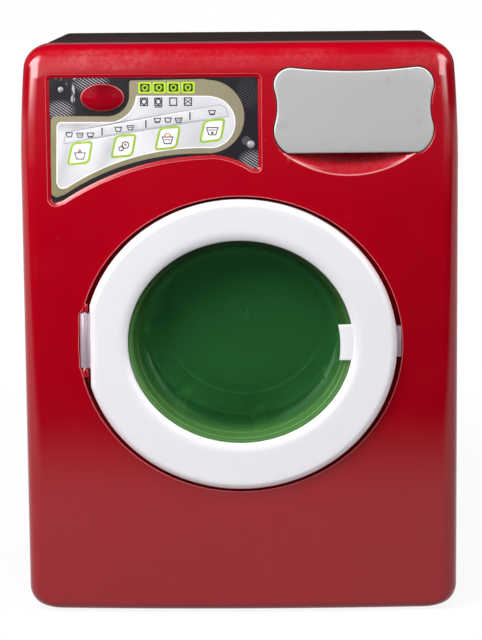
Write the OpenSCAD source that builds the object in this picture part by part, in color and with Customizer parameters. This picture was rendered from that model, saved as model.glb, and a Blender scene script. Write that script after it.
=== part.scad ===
/* [Body] */
// Width across the red front
body_w = 195; // [189:1:205]
// Height of the top above the floor
body_h = 257.5; // [254:0.5:268]
// Depth from the middle of the front face to the rear face
body_d = 172; // [168:1:190]
// Depth of the red front shell, from the middle of its face to its open rear edge
front_d = 24; // [22:1:28]
// How far the middle of the front face stands out from its sides
bow = 3.5; // [2:0.5:5]
// Wall of the red front shell
front_wall = 2.5; // [2:0.1:3]
// Wall of the dark housing
rear_wall = 2.2; // [1.8:0.1:2.8]
// Radius of the two upper corners, seen from the front
top_corner_r = 11; // [9:0.5:15]
// Radius of the two lower corners, seen from the front
base_corner_r = 10; // [9:1:13]
// Rounding where the front face meets the sides
side_edge_r = 8; // [5:0.5:10]
// Rounding where the front face meets the top
top_edge_r = 12; // [6:0.5:14]
// Rounding where the front face meets the underside
base_edge_r = 4; // [3.5:0.5:8]
// How far each side leans in towards the top
side_lean = 2; // [1:0.1:4]
// Height over which the sides lean in
lean_h = 45; // [30:1:60]
// Gap from the floor to the underside of the red front
floor_gap = 1.2; // [0.5:0.1:3]
// Clearance between parts that fit together without moving
fit_gap = 0.3; // [0.15:0.05:0.4]
// Clearance round a shaft, pin or screw in its hole, on the radius
run_gap = 0.04; // [0.02:0.01:0.08]

/* [Dark housing] */
// Overlap of the housing inside the red front
lap = 6; // [4:1:8]
// How far the housing lies within the outline of the red front
rear_inset = 0.4; // [0.2:0.1:1]
// How far each side of the housing draws in towards the rear
rear_taper = 2.2; // [1:0.1:4]
// How far the housing's top falls towards the rear
rear_drop = 1.3; // [0.5:0.1:2]
// Radius of the housing's long corners at the rear, as an outline of the red front's size
rear_corner_r = 5.6; // [5.6:0.1:9]
// Rounding round the rear face
rear_edge_r = 4; // [2:0.5:4.5]
// Number of air slots in the rear wall
slot_count = 6; // [3:1:8]
// Spacing of the air slots
slot_pitch = 6; // [5:0.5:8]
// Length of an air slot
slot_len = 28; // [20:1:34]
// Width of an air slot
slot_w = 2.4; // [1.6:0.2:3]
// Radius of a foot
foot_r = 7; // [5:0.5:9]
// Distance of the feet from the ends of the housing
foot_in = 18; // [14:1:30]

/* [Door] */
// Width of the opening that the door closes
opening_w = 144.5; // [142:0.5:147]
// Height of the opening that the door closes
opening_h = 133.3; // [131:0.1:135]
// Distance of the door's centre below the top
door_drop = 134.1; // [132:0.1:140]
// Gap between door and opening at the catch side
side_gap = 2.25; // [1.8:0.05:3]
// Gap between door and opening at top and bottom
top_gap = 1.15; // [0.8:0.05:2]
// Distance from the door's centre to its straight hinge side
hinge_flat = 67.2; // [66.5:0.1:67.4]
// How far the door stands out from the middle of the front face
door_proud = 3; // [2:0.1:3.5]
// Thickness of the whole door at its rim
door_t = 8.5; // [7:0.1:9.5]
// Wall of the door's front ring
ring_wall = 2.2; // [1.8:0.1:2.6]
// Width of the window that shows inside the ring
window_w = 100.5; // [96:0.5:102]
// Height of the window that shows inside the ring
window_h = 92.2; // [88:0.2:94]
// Depth of the window bowl behind the ring
bowl_d = 17; // [10:0.5:18]
// How much the bowl narrows towards its bottom, on the radius
bowl_draft = 2.5; // [1.5:0.1:4]
// Wall of the window bowl
bowl_wall = 1.6; // [1.2:0.1:2]
// Height of the grip tab that reaches over the window
tab_h = 16.6; // [12:0.2:20]
// Distance from the door's centre to the grip tab's curved edge
tab_r = 45; // [42:0.5:47]
// Height of the catch tongue under the ring's edge
catch_h = 14; // [8:0.5:18]
// Depth of the seat that the door closes into
seat_d = 8.5; // [7.5:0.1:10]

/* [Hinge] */
// Distance of the hinge axis from the straight side of the ring
hinge_off = 2.5; // [2.4:0.05:2.8]
// Depth of the hinge axis behind the middle of the front face
hinge_y = 3.4; // [3:0.1:3.6]
// Radius of the hinge barrel on the ring
barrel_r = 2.45; // [2.1:0.05:2.5]
// Length of the hinge barrel
barrel_len = 24.8; // [18:0.2:30]
// Radius of the lugs that hold the hinge pin
lug_r = 1.6; // [1.5:0.05:1.8]
// Length of each lug
lug_len = 4; // [3:0.5:6]
// Radius of the hinge pin
pin_r = 0.9; // [0.7:0.05:1]
// Height of the hinge centre above the door's centre
hinge_dz = 2.2; // [0:0.1:3.5]

/* [Control panel] */
// Distance of the panel's left edge from the side of the machine
panel_in = 12.5; // [11.5:0.5:15.5]
// Gap between the panel and the drawer's front where that is widest
panel_gap = 5.7; // [4.7:0.1:7.7]
// Distance of the panel's upper edge below the top
panel_drop = 13.2; // [12.4:0.1:15.5]
// Depth of the recess that the panel lies in
panel_recess = 2.2; // [1.8:0.1:2.6]
// Thickness of the panel plate
panel_t = 1.6; // [1.2:0.1:1.8]
// Width of the oval button
button_w = 19.4; // [16:0.2:21]
// Height of the oval button
button_h = 12.1; // [10:0.1:13]
// Distance of the oval button's middle from the panel's left edge
button_in = 25; // [23:0.5:27]
// Distance of the button's middle below the top
button_drop = 23.2; // [21.5:0.1:24.5]
// Travel of the button
button_travel = 2; // [1:0.1:2.5]
// How far the button's dome stands out from the panel
button_proud = 3.2; // [2:0.1:3.8]
// Wall of the button's cap
cap_wall = 1.3; // [1:0.1:1.6]
// Radius of the button's stem
stem_r = 1.6; // [1.3:0.1:2]
// Radius of the button spring, to the middle of its wire
spring_r = 3; // [2.6:0.1:3.2]
// Thickness of the spring wire
spring_wire = 0.6; // [0.5:0.1:0.8]
// Turns of the button spring
spring_turns = 4; // [3:1:6]
// Thickness of the circuit board
board_t = 1.6; // [1.2:0.1:2]

/* [Detergent drawer] */
// Distance of the drawer's middle from the side of the machine
drawer_in = 46.6; // [45.5:0.1:48.5]
// Half width of the drawer's front at its upper corners
plate_half = 35.2; // [33:0.1:36]
// Distance of the drawer front's upper corners below the top
plate_drop = 10.8; // [10:0.1:12.5]
// Height of the drawer's front
plate_h = 37.6; // [35:0.1:39]
// How far the sides of the drawer's front are waisted
waist = 1.5; // [0.8:0.1:2.2]
// How far the upper edge of the drawer's front sags in its middle
sag = 1.6; // [0.8:0.1:2.4]
// Depth of the well that the drawer's front lies in
well_d = 6.4; // [5.5:0.1:7]
// Wall of the tray
tray_wall = 1.5; // [1.2:0.1:2]
// Width of the tray
tray_w = 52; // [46:1:53]
// Height of the tray
tray_h = 23; // [18:0.5:24]
// Length of the tray behind the drawer's front
tray_len = 62; // [50:1:75]
// Travel of the drawer
drawer_travel = 42; // [25:1:45]
// Radius of the finger scoop's edge, seen from the front
scoop_r = 50; // [46:0.5:54]
// Height of the scoop's edge below the drawer's front
scoop_drop = 9.8; // [8:0.1:12]
// Depth of the scoop where the drawer's front ends
scoop_depth = 8; // [6:0.5:10]

/* [Drum] */
// Radius inside the drum at its bottom
drum_r = 50.5; // [48:0.5:51]
// How much wider the drum is at its mouth, on the radius
drum_flare = 2; // [1:0.1:3]
// Wall of the drum
drum_wall = 1.8; // [1.4:0.1:2.2]
// Distance of the drum's mouth behind the front face
drum_y = 23.5; // [23:0.5:26]
// Distance of the drum's inner bottom in front of the rear face
drum_back = 74; // [73:0.5:82]
// Number of lifting fins
fin_count = 8; // [3:1:10]
// Radial height of a lifting fin
fin_h = 12.5; // [8:0.5:14]
// Length of a lifting fin
fin_len = 13; // [8:0.5:20]
// Thickness of a lifting fin
fin_t = 2.2; // [1.6:0.1:3]
// Radius of the step in the drum's bottom
step_r = 37; // [30:0.5:38]
// Radius of the drum shaft
shaft_r = 2.5; // [2:0.1:3]

/* [Gear train] */
// Tooth size of the last gear pair, as pitch diameter over teeth
slow_module = 1; // [0.9:0.05:1]
// Tooth size of the two faster gear pairs
fast_module = 0.8; // [0.7:0.05:0.8]
// Teeth of the large gear on the drum shaft
drum_teeth = 54; // [48:1:56]
// Teeth of the small wheel that drives it
slow_pinion_teeth = 12; // [12:1:14]
// Teeth of the large wheels of the two double gears
wheel_teeth = 36; // [30:1:38]
// Teeth of the small wheels of the fast pairs
fast_pinion_teeth = 10; // [10:1:12]
// Play between meshing teeth, at the pitch circle
backlash = 0.16; // [0.1:0.02:0.3]
// Face width of the gear on the drum shaft
slow_face = 5; // [4:0.5:6]
// Face width of the other gears
fast_face = 3.6; // [3:0.1:4]
// Radius of the double gears' pins
gear_pin_r = 1.5; // [1.2:0.1:1.8]
// Wall of the gear case
case_wall = 2; // [1.6:0.1:2.4]

/* [Motor] */
// Diameter of the motor
motor_dia = 20; // [18:0.5:22]
// Length of the motor's can
motor_len = 25; // [20:0.5:28]
// Width across the motor's two flats
motor_flat = 15; // [14:0.5:17]
// Radius of the motor's shaft
motor_shaft_r = 1; // [0.8:0.05:1.2]

/* [Battery compartment] */
// Diameter of a battery cell
cell_dia = 14.5; // [14:0.1:14.6]
// Length of a battery cell without its button
cell_len = 49.5; // [48:0.5:50.5]
// Wall of the battery box
box_wall = 1.6; // [1.2:0.1:2]
// Height of the battery box's underside above the floor
box_z = 15; // [15:0.5:20]

/* [Screws] */
// Radius of the large screws' shank
screw_r = 1.4; // [1.2:0.1:1.6]
// Radius of the large screws' head
head_r = 2.8; // [2.4:0.1:3]
// Radius of the small screws' shank
small_screw_r = 0.9; // [0.8:0.05:1]
// Radius of the small screws' head
small_head_r = 1.8; // [1.6:0.1:2]

/* [Hidden] */

$fn = 48;
// Facets of the large round and oval forms
smooth_fn = 120;
// A small distance by which a cut runs past the face that it opens
past = 0.5;
// The machine is built with y = 0 at the middle of the front face, then centred front to rear
centre_y = (door_proud - body_d) / 2;

// Front face: an arc in plan that bulges by the bow
half_w = body_w / 2;
// Places of the door, the drawer, the panel and the button, from the middle of the machine
door_z = body_h - door_drop;
drawer_x = half_w - drawer_in;
panel_x0 = panel_in - half_w;
panel_x1 = drawer_x - plate_half - panel_gap;
button_x = panel_x0 + button_in;
bow_r = (half_w * half_w + bow * bow) / (2 * bow);
function face_y(x) = bow_r - sqrt(bow_r * bow_r - x * x);

// Outline of the front, seen from the front
lean_a = atan(2 * side_lean / lean_h);
lean_top = body_h - top_corner_r * (1 - sin(lean_a));
function arc(cx, cz, r, a0, a1, n) =
  [for (i = [0:n]) let (a = a0 + (a1 - a0) * i / n) [cx + r * cos(a), cz + r * sin(a)]];
function side_points(inset, top_r, base_r) = concat(
  arc(half_w - base_r, floor_gap + base_r, base_r - inset, -90, 0, 6),
  [for (i = [0:3]) [half_w - inset - side_lean * pow(i / 4, 2), lean_top - lean_h * (1 - i / 4)]],
  arc(half_w - side_lean - top_r * cos(lean_a), body_h - top_r, top_r - inset, lean_a, 90, 7));

// How far the front face falls back near the top and the underside
function fall(r, d) = d >= r ? 0 : r - sqrt(r * r - pow(r - max(d, 0), 2));
function set_back(z, inset) =
  fall(top_edge_r - inset, body_h - inset - z) + fall(base_edge_r - inset, z - floor_gap - inset);

// One plan slice of the front shell, from its right rear corner round the front to its left rear
function plan_slice(x, z, inset, back) =
  let (
    r = side_edge_r - inset,
    s = set_back(z, inset),
    big = bow_r - inset,
    fx = x - r,
    fy = s + bow_r - sqrt(pow(big - r, 2) - fx * fx),
    tangent = atan2(fy - s - bow_r, fx),
    right = concat(
      [[x, back]],
      [for (i = [0:6]) [fx + r * cos(tangent * i / 6), fy + r * sin(tangent * i / 6)]]),
    middle = [for (i = [1:9])
      let (a = tangent - (180 + 2 * tangent) * i / 10)
      [big * cos(a), s + bow_r + big * sin(a)]]
  )
  [for (p = concat(right, middle, [for (i = [len(right) - 1:-1:0]) [-right[i].x, right[i].y]]))
    [p.x, p.y, z]];

// A solid through rings of equally many points
module loft(rings) {
  n = len(rings[0]);
  m = len(rings);
  polyhedron(
    points = [for (ring = rings) each ring],
    faces = concat(
      [[for (i = [n - 1:-1:0]) i]],
      [[for (i = [0:n - 1]) (m - 1) * n + i]],
      [for (k = [0:m - 2], i = [0:n - 1])
        [k * n + i, k * n + (i + 1) % n, (k + 1) * n + (i + 1) % n]],
      [for (k = [0:m - 2], i = [0:n - 1])
        [k * n + i, (k + 1) * n + (i + 1) % n, (k + 1) * n + i]]),
    convexity = 4);
}

// Places a piece in the frame of the finished machine
module placed() {
  translate([0, centre_y, 0]) children();
}

// A flat shape drawn in x and z, from depth y0 to depth y1
module slab(y0, y1) {
  translate([0, y1, 0]) rotate([90, 0, 0]) linear_extrude(y1 - y0) children();
}

// A round bar along the depth, from y0 to y1
module bar(r, y0, y1, x = 0, z = 0, fn = $fn) {
  translate([x, y0, z]) rotate([-90, 0, 0]) cylinder(r = r, h = y1 - y0, $fn = fn);
}

// An oval bar along the depth, centred on the door
module oval_bar(rx, rz, y0, y1, x = 0, z = door_z) {
  translate([x, 0, z]) scale([1, 1, rz / rx]) bar(rx, y0, y1, fn = smooth_fn);
}

// A block between two corners
module block(low, high) {
  translate(low) cube(high - low);
}

// The space behind the bowed face, starting at depth d below it
module behind_face(d) {
  translate([0, bow_r, -past]) cylinder(r = bow_r - d, h = body_h + 2 * past, $fn = 1440);
}

// The part of a flat shape between depth d below the bowed face and the flat depth y1
module bowed_slab(d, y1) {
  intersection() {
    slab(-bow, y1) children();
    behind_face(d);
  }
}

// The part of a flat shape in front of the face that lies d below the bowed face
module face_cut(d) {
  difference() {
    slab(-2 * bow, body_d / 4) children();
    behind_face(d);
  }
}

// Screw with a round head that faces the front or the rear
module screw(r, head, head_h, tip_y, head_y, x, z) {
  side = head_y > tip_y ? 1 : -1;
  bar(r, min(tip_y, head_y), max(tip_y, head_y), x, z, 24);
  difference() {
    bar(head, min(head_y, head_y + side * head_h), max(head_y, head_y + side * head_h), x, z, 32);
    for (a = [0, 90])
      translate([x, head_y + side * head_h, z]) rotate([0, a, 0])
        cube([head * 1.2, head_h, head * 0.28], center = true);
  }
}

// Positions that several pieces share
seat_back = seat_d + rear_wall;
// Depth at which the blocks behind the panel and the drawer start, inside the front wall
backing_d = front_wall - 0.5;
collar_back = drum_y - 1.5;
ring_rx = opening_w / 2 - side_gap;
ring_rz = opening_h / 2 - top_gap;
door_back = door_t - door_proud;
hinge_x = -hinge_flat - hinge_off;
hinge_z = door_z + hinge_dz;
screw_x = half_w - 13.5;
screw_low = floor_gap + 14;
screw_high = body_h - 13;
corner_screws = [[screw_x, screw_low], [-screw_x, screw_low], [screw_x, screw_high], [-screw_x, screw_high]];
boss_end = front_d + 6;
ledge_t = 3;
// Height of a large and a small screw's head
head_h = 1.8;
small_head_h = 1.2;

// Outline of the control panel: a short and a long arc over the door, between two corners
panel_top = body_h - panel_drop;
panel_corner = 2;
panel_side_h = 41.3;
short_r = 36.3;
short_at = [panel_x1 - 24.9, panel_top - 73];
long_r = 121.5;
long_at = [panel_x1 - 21.2, panel_top - 158.6];
low_corner = 3.3;
low_lift = 1.9;
long_end = acos((panel_x0 + 2.3 * low_corner - long_at.x) / long_r);
low_z = long_at.y + long_r * sin(long_end) + low_lift;
function panel_points() = concat(
  arc(panel_x0 + panel_corner, panel_top - panel_corner, panel_corner, 180, 90, 4),
  arc(panel_x1 - panel_corner, panel_top - panel_corner, panel_corner, 90, 0, 4),
  arc(panel_x1 - panel_corner, panel_top - panel_side_h, panel_corner, 0, -115, 4),
  arc(short_at.x, short_at.y, short_r, 55, 86, 8),
  arc(long_at.x, long_at.y, long_r, 90.6, long_end, 12),
  arc(panel_x0 + low_corner, low_z, low_corner, 290, 180, 5));
panel_leg = 4.6;
panel_back = panel_recess + panel_leg;

// Switch, lamp and board behind the button
button_z = body_h - button_drop;
film_y = face_y(button_x) + panel_recess - panel_t;
dome_y = film_y - button_proud;
rest_gap = 0.05;
flange_y = panel_back + rest_gap;
flange_t = 1.2;
collar_y = 6;
switch_y = 14;
switch_d = 5.6;
switch_w = 8;
board_y = switch_y + switch_d;
board_w = 42;
board_h = 24;
board_left = 20;
board_low = 14;
board_x = button_x - board_left;
board_z = button_z - board_low;
peg_in = 4;
board_pegs = [[board_x + peg_in, board_z + peg_in],
  [board_x + board_w - peg_in, board_z + board_h - peg_in]];

// Drawer front, tray and guide
plate_top = body_h - plate_drop;
plate_base = plate_top - plate_h;
plate_back = well_d - fit_gap;
tray_drop = 6.2;
tray_z = plate_top - tray_drop - tray_h;
tray_x = drawer_x - tray_w / 2;
tray_end = plate_back + tray_len;
// Room round the tray and the drawer's front in their openings
tray_gap = 0.4;
guide_back = well_d + rear_wall;
guide_wall = 1.4;
guide_end = tray_end + 6;
guide_half = tray_w / 2 + fit_gap + guide_wall + 0.8;
guide_boss_r = small_screw_r + 1.7;
ear_x = guide_half + guide_boss_r + fit_gap;
guide_boss_len = 4;
guide_ear_t = 2;
ear_y = guide_back + guide_boss_len;
ear_z = tray_z + tray_h / 2;
runner_h = 1.6;
runner_w = 1.2;
runner_stop = guide_back + 1.5;
runner_y = runner_stop + drawer_travel + 0.5;
scoop_z = plate_base - scoop_drop + scoop_r;
scoop_edge = plate_base - scoop_z;
scoop_c = (scoop_r * scoop_r - scoop_edge * scoop_edge - scoop_depth * scoop_depth) / (2 * scoop_depth);
scoop_ball = sqrt(scoop_r * scoop_r + scoop_c * scoop_c);

// Drum, shaft and gears, front to rear
drum_bottom = body_d - drum_back;
plate_t = 2.2;
hub_r = 8;
hub_len = 4.8;
hub_end = drum_bottom + plate_t + hub_len;
bush_flange_r = 6;
bush_r = 4.5;
bush_flange_t = 1.2;
case_y = hub_end + fit_gap + bush_flange_t;
// Depth in front of the slow gears, between the layers of gears, and behind the last
bush_room = 3.8;
layer_gap = 1;
last_gap = 1.5;
slow_y = case_y + case_wall + bush_room;
fast_y = slow_y + slow_face + layer_gap;
first_y = fast_y + fast_face + layer_gap;
cover_y = first_y + fast_face + last_gap;
cover_t = 2.5;
bush_len = 3;
bush_end = case_y + case_wall + bush_len;
motor_y = cover_y + cover_t;
hub_step = 2;
gear_hub_end = slow_y + slow_face + hub_step;

slow_centre = slow_module * (drum_teeth + slow_pinion_teeth) / 2;
fast_centre = fast_module * (wheel_teeth + fast_pinion_teeth) / 2;
// Direction of each gear from the one that it drives
second_a = -50;
first_a = -10;
motor_a = 60;
drum_at = [0, door_z];
second_at = drum_at + slow_centre * [cos(second_a), sin(second_a)];
first_at = second_at + fast_centre * [cos(first_a), sin(first_a)];
motor_at = first_at + fast_centre * [cos(motor_a), sin(motor_a)];
// Height of a large wheel's and a small wheel's teeth above and below the pitch circle, in modules
wheel_add = 0.6;
wheel_ded = 1.25;
pinion_add = 1;
pinion_ded = 0.95;
pressure_a = 20;
drum_gear_tip = slow_module * (drum_teeth / 2 + wheel_add);
wheel_tip = fast_module * (wheel_teeth / 2 + wheel_add);
case_room = 2;
case_drum_r = drum_gear_tip + case_room + case_wall;
case_wheel_r = wheel_tip + case_room + case_wall;
case_pinion_r = fast_module * (fast_pinion_teeth / 2 + 1) + case_room + case_wall;
ear_r = 5;
ear_sink = 1;
ear_t = 3;
case_ears = concat(
  [for (a = [135, 45, 225]) drum_at + (case_drum_r + ear_r - ear_sink) * [cos(a), sin(a)]],
  [first_at + (case_wheel_r + ear_r - 1.5 * ear_sink) * [cos(-27), sin(-27)]]);
case_ear_y = cover_y - ear_t;
post_r = 4;

// Battery box: two cells one above the other, lying across the machine
cell_gap = 0.4;
cell_end = 4;
wall_in = body_d - rear_wall;
box_in_w = cell_len + 2 * cell_end + 1;
box_in_h = 2 * cell_dia + 3 * cell_gap;
box_in_z = box_z + box_wall;
box_front = wall_in - cell_dia - 2 * cell_gap - box_wall;
box_flange = 4;
hook_h = 2;
hatch_w = box_in_w + 2 * box_wall + 2;
hatch_z0 = box_z - hook_h - 1;
hatch_z1 = box_in_z + box_in_h + box_wall + 1;
hatch_tab = 9;
hatch_tab_w = 13;
hatch_screw_z = hatch_z1 + hatch_tab / 2 - 0.5;
cell_y = wall_in - cell_gap - cell_dia / 2;
cell_low = box_in_z + cell_gap + cell_dia / 2;
cell_high = cell_low + cell_dia + cell_gap;

// Outer and inner form of the red front
module front_form(inset, back) {
  loft([for (p = side_points(inset, top_corner_r, base_corner_r)) plan_slice(p.x, p.y, inset, back)]);
}

// Form of the dark housing, drawn in by inset, from depth y0 to depth y1 with a rounded end
module rear_form(inset, y0, y1, edge) {
  start = front_d - lap;
  steps = concat(
    [[y0, 0]],
    [for (i = [0:4]) let (a = 90 * i / 4) [y1 - edge + edge * sin(a), edge * (1 - cos(a))]]);
  loft([for (s = steps)
    let (
      t = max(0, (s[0] - start) / (body_d - start)),
      top_r = top_corner_r + (rear_corner_r - top_corner_r) * t,
      base_r = base_corner_r + (rear_corner_r - base_corner_r) * t,
      half = [for (p = side_points(inset + s[1], top_r, base_r))
        [p.x - rear_taper * t, p.y - rear_drop * t * (p.y - foot_top) / (body_h - foot_top)]]
    )
    concat(
      [for (p = half) [p.x, s[0], p.y]],
      [for (i = [len(half) - 1:-1:0]) [-half[i].x, s[0], half[i].y]])]);
}

// Outline of the drawer's front: waisted sides, sagging top, cut lower corners. The waist is an
// arc that touches the round lobes below and above it
low_lobe_r = 11.4;
low_lobe_z = plate_base + 10;
top_lobe_r = 7.5;
top_lobe_z = plate_top - top_lobe_r;
root_sum = (top_lobe_z - low_lobe_z) / sqrt(waist);
low_root = root_sum / 2 + (low_lobe_r - top_lobe_r) / root_sum;
waist_r = (low_root * low_root + waist) / 2 - low_lobe_r;
waist_z = low_lobe_z + sqrt(waist) * low_root;
low_turn = asin((waist_z - low_lobe_z) / (waist_r + low_lobe_r));
top_turn = asin((top_lobe_z - waist_z) / (waist_r + top_lobe_r));
function plate_side() = concat(
  [[plate_half - 6.2, plate_base]],
  arc(plate_half - low_lobe_r, low_lobe_z, low_lobe_r, -62, low_turn, 7),
  arc(plate_half - waist + waist_r, waist_z, waist_r, 180 + low_turn * 0.75, 180 - top_turn * 0.75, 4),
  arc(plate_half - top_lobe_r, top_lobe_z, top_lobe_r, -top_turn, 92, 8));
function plate_points() =
  let (side = plate_side(), n = len(side))
  concat(
    [for (p = side) [drawer_x + p.x, p.y]],
    [for (t = [0.6, 0.3, 0, -0.3, -0.6])
      [drawer_x + (plate_half - top_lobe_r) * t, plate_top - sag * (1 - t * t)]],
    [for (i = [n - 1:-1:0]) [drawer_x - side[i].x, side[i].y]]);

module button_oval(grow) {
  translate([button_x, button_z]) scale([1, (button_h / 2 + grow) / (button_w / 2 + grow)])
    circle(r = button_w / 2 + grow, $fn = smooth_fn);
}

// The scoop below the drawer's front: a ball sunk into the face
module scoop_form(grow) {
  intersection() {
    translate([drawer_x, face_y(drawer_x) - scoop_c, scoop_z]) sphere(r = scoop_ball + grow, $fn = 160);
    block([drawer_x - scoop_r, -scoop_c, plate_base - scoop_drop - 2 - grow],
      [drawer_x + scoop_r, body_d / 4, plate_base + 4 + grow]);
  }
}

// Red front shell with the door seat, panel recess, drawer well, finger scoop and bosses
module front_fascia() {
  color("crimson") placed() difference() {
    union() {
      difference() {
        front_form(0, front_d);
        front_form(front_wall, front_d + past);
      }
      bowed_slab(backing_d, panel_back) offset(delta = front_wall) polygon(panel_points());
      bowed_slab(backing_d, guide_back) offset(delta = front_wall) polygon(plate_points());
      oval_bar(opening_w / 2 + rear_wall, opening_h / 2 + rear_wall, bow - 1, seat_back);
      oval_bar(ring_rx - 10.8, ring_rz - 10.8, seat_d, collar_back);
      intersection() {
        scoop_form(rear_wall);
        behind_face(1);
      }
      for (s = corner_screws) bar(screw_r + 2.2, face_y(s.x) + 1, boss_end, s.x, s.y);
      for (s = board_pegs) bar(small_screw_r + 1.5, panel_back - 1, board_y, s.x, s.y, 32);
      for (side = [-1, 1])
        bar(guide_boss_r, guide_back - 2 * past, ear_y, drawer_x + side * ear_x, ear_z, 32);
    }
    face_cut(panel_recess) polygon(panel_points());
    slab(0, panel_back + past) button_oval(0.2);
    for (s = stud_places) bar(stud_shank_r + run_gap, 0, panel_back + past, s.x, s.y, 24);
    slab(-2 * bow, well_d) offset(delta = tray_gap) polygon(plate_points());
    block([tray_x - tray_gap, 0, tray_z - tray_gap],
      [tray_x + tray_w + tray_gap, guide_back + past, tray_z + tray_h + tray_gap]);
    scoop_form(0);
    difference() {
      oval_bar(opening_w / 2, opening_h / 2, -door_proud, seat_d);
      hinge_lugs();
    }
    oval_bar(ring_rx - 13, ring_rz - 13, seat_d - past, collar_back + past);
    hinge_relief();
    for (s = corner_screws) bar(screw_r + run_gap, panel_back + 3, boss_end + past, s.x, s.y);
    for (s = board_pegs) bar(small_screw_r + run_gap, panel_back + 2, board_y + past, s.x, s.y, 32);
    for (side = [-1, 1])
      bar(small_screw_r + run_gap, well_d + 1, ear_y + past, drawer_x + side * ear_x, ear_z, 32);
  }
}

// The two lugs beside the hinge barrel, joined to the seat's wall
module hinge_lugs() {
  for (side = [-1, 1]) {
    z0 = hinge_z + side * (barrel_len / 2 + fit_gap + lug_len / 2) - lug_len / 2;
    difference() {
      union() {
        translate([hinge_x, hinge_y, z0]) cylinder(r = lug_r, h = lug_len, $fn = 32);
        block([hinge_x - 6, hinge_y - lug_r * 0.4, z0], [hinge_x, hinge_y + lug_r, z0 + lug_len]);
      }
      translate([hinge_x, hinge_y, z0 - past])
        cylinder(r = pin_r + run_gap, h = lug_len + 2 * past, $fn = 32);
    }
  }
}

// Room for the hinge barrel in the seat's wall
module hinge_relief() {
  translate([hinge_x, hinge_y, hinge_z - barrel_len / 2 - fit_gap])
    cylinder(r = barrel_r + 0.5, h = barrel_len + 2 * fit_gap);
  translate([hinge_x, hinge_y, hinge_z - barrel_len / 2 - lug_len])
    cylinder(r = pin_r + run_gap, h = barrel_len + 2 * lug_len, $fn = 32);
}

// Dark housing behind the red front, with a tongue that reaches into the front, posts for the
// screws and the gearbox, battery hatch and air slots
rear_y = front_d + fit_gap;
tongue_in = front_wall + fit_gap;
module rear_housing() {
  color("dimgray") placed() difference() {
    union() {
      difference() {
        union() {
          rear_form(rear_inset, rear_y, body_d, rear_edge_r);
          rear_form(tongue_in, front_d - lap, rear_y + rear_wall, rear_wall / 2);
        }
        rear_form(rear_inset + rear_wall, rear_y + rear_wall, wall_in, max(rear_edge_r - rear_wall, past));
        rear_form(tongue_in + rear_wall, front_d - lap - past, rear_y + 2 * rear_wall, rear_wall / 2);
      }
      for (s = corner_screws) bar(head_r + 2, boss_end, body_d - 1, s.x, s.y);
      for (s = case_ears) bar(post_r, motor_y, body_d - 1, s.x, s.y);
    }
    for (s = corner_screws) {
      bar(screw_r + run_gap, boss_end - past, boss_end + ledge_t + past, s.x, s.y);
      bar(head_r + fit_gap, boss_end + ledge_t, body_d + past, s.x, s.y);
    }
    for (s = case_ears) bar(screw_r + run_gap, motor_y - past, motor_y + 12, s.x, s.y, 32);
    slab(wall_in - past, body_d + past) hatch_outline(0);
    for (i = [0:slot_count - 1])
      slab(wall_in - past, body_d + past)
        translate([0, door_z + 62 + (i - (slot_count - 1) / 2) * slot_pitch])
          square([slot_len, slot_w], center = true);
  }
}

// Outline of the battery hatch with its screw tab, smaller all round by the clearance
module hatch_outline(gap) {
  translate([-hatch_w / 2 + gap, hatch_z0 + gap]) square([hatch_w - 2 * gap, hatch_z1 - hatch_z0 - 2 * gap]);
  translate([-hatch_tab_w / 2 + gap, hatch_z1 - 1]) square([hatch_tab_w - 2 * gap, hatch_tab + 1 - gap]);
}

// Four rubber feet under the housing
foot_top = floor_gap + rear_inset;
foot_x = half_w - foot_in - 8;
module feet() {
  color("black") placed()
    for (x = [-foot_x, foot_x], y = [front_d + foot_in, body_d - foot_in])
      translate([x, y, 0]) {
        cylinder(r1 = foot_r - 0.8, r2 = foot_r, h = foot_top * 0.4);
        translate([0, 0, foot_top * 0.4]) cylinder(r = foot_r, h = foot_top * 0.6);
      }
}

module housing_screws() {
  color("silver") placed()
    for (s = corner_screws) screw(screw_r, head_r, head_h, boss_end - 9, boss_end + ledge_t, s.x, s.y);
}

// Door ring: an open channel with a rounded front and one straight side
window_rx = window_w / 2;
window_rz = window_h / 2;
window_k = window_rz / window_rx;
ring_edge_r = 3.2;
ring_points = 96;
socket_y = ring_wall - door_proud;
flange_rx = window_rx + 4.5;
flange_rz = flange_rx * window_k;
bevel_w = 2.4;
bevel_d = 0.8;

function ring_outline(inset) = [for (i = [0:ring_points - 1])
  let (a = 360 * i / ring_points)
  [max((ring_rx - inset) * cos(a), inset - hinge_flat), door_z + (ring_rz - inset) * sin(a)]];

module ring_form() {
  steps = concat(
    [for (i = [0:5]) let (a = 18 * i) [ring_edge_r * (1 - sin(a)), ring_edge_r * (1 - cos(a)) - door_proud]],
    [[0, door_back]]);
  loft([for (step = steps) [for (p = ring_outline(step[0])) [p.x, step[1], p.y]]]);
}

// A turned shape about the door's axis, pressed to an oval by k
module turned(k) {
  translate([0, 0, door_z]) scale([1, 1, k]) rotate([-90, 0, 0]) rotate_extrude($fn = smooth_fn) children();
}

// The oval that lies d outside the window's flange
module flange_oval(d, y0, y1) {
  oval_bar(flange_rx + d, flange_rz + d, y0, y1);
}

module grip_tab_block(y0, y1) {
  block([tab_r - 2, y0, door_z + 0.5 - tab_h / 2], [window_rx + bevel_w + 1, y1, door_z + 0.5 + tab_h / 2]);
}

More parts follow.
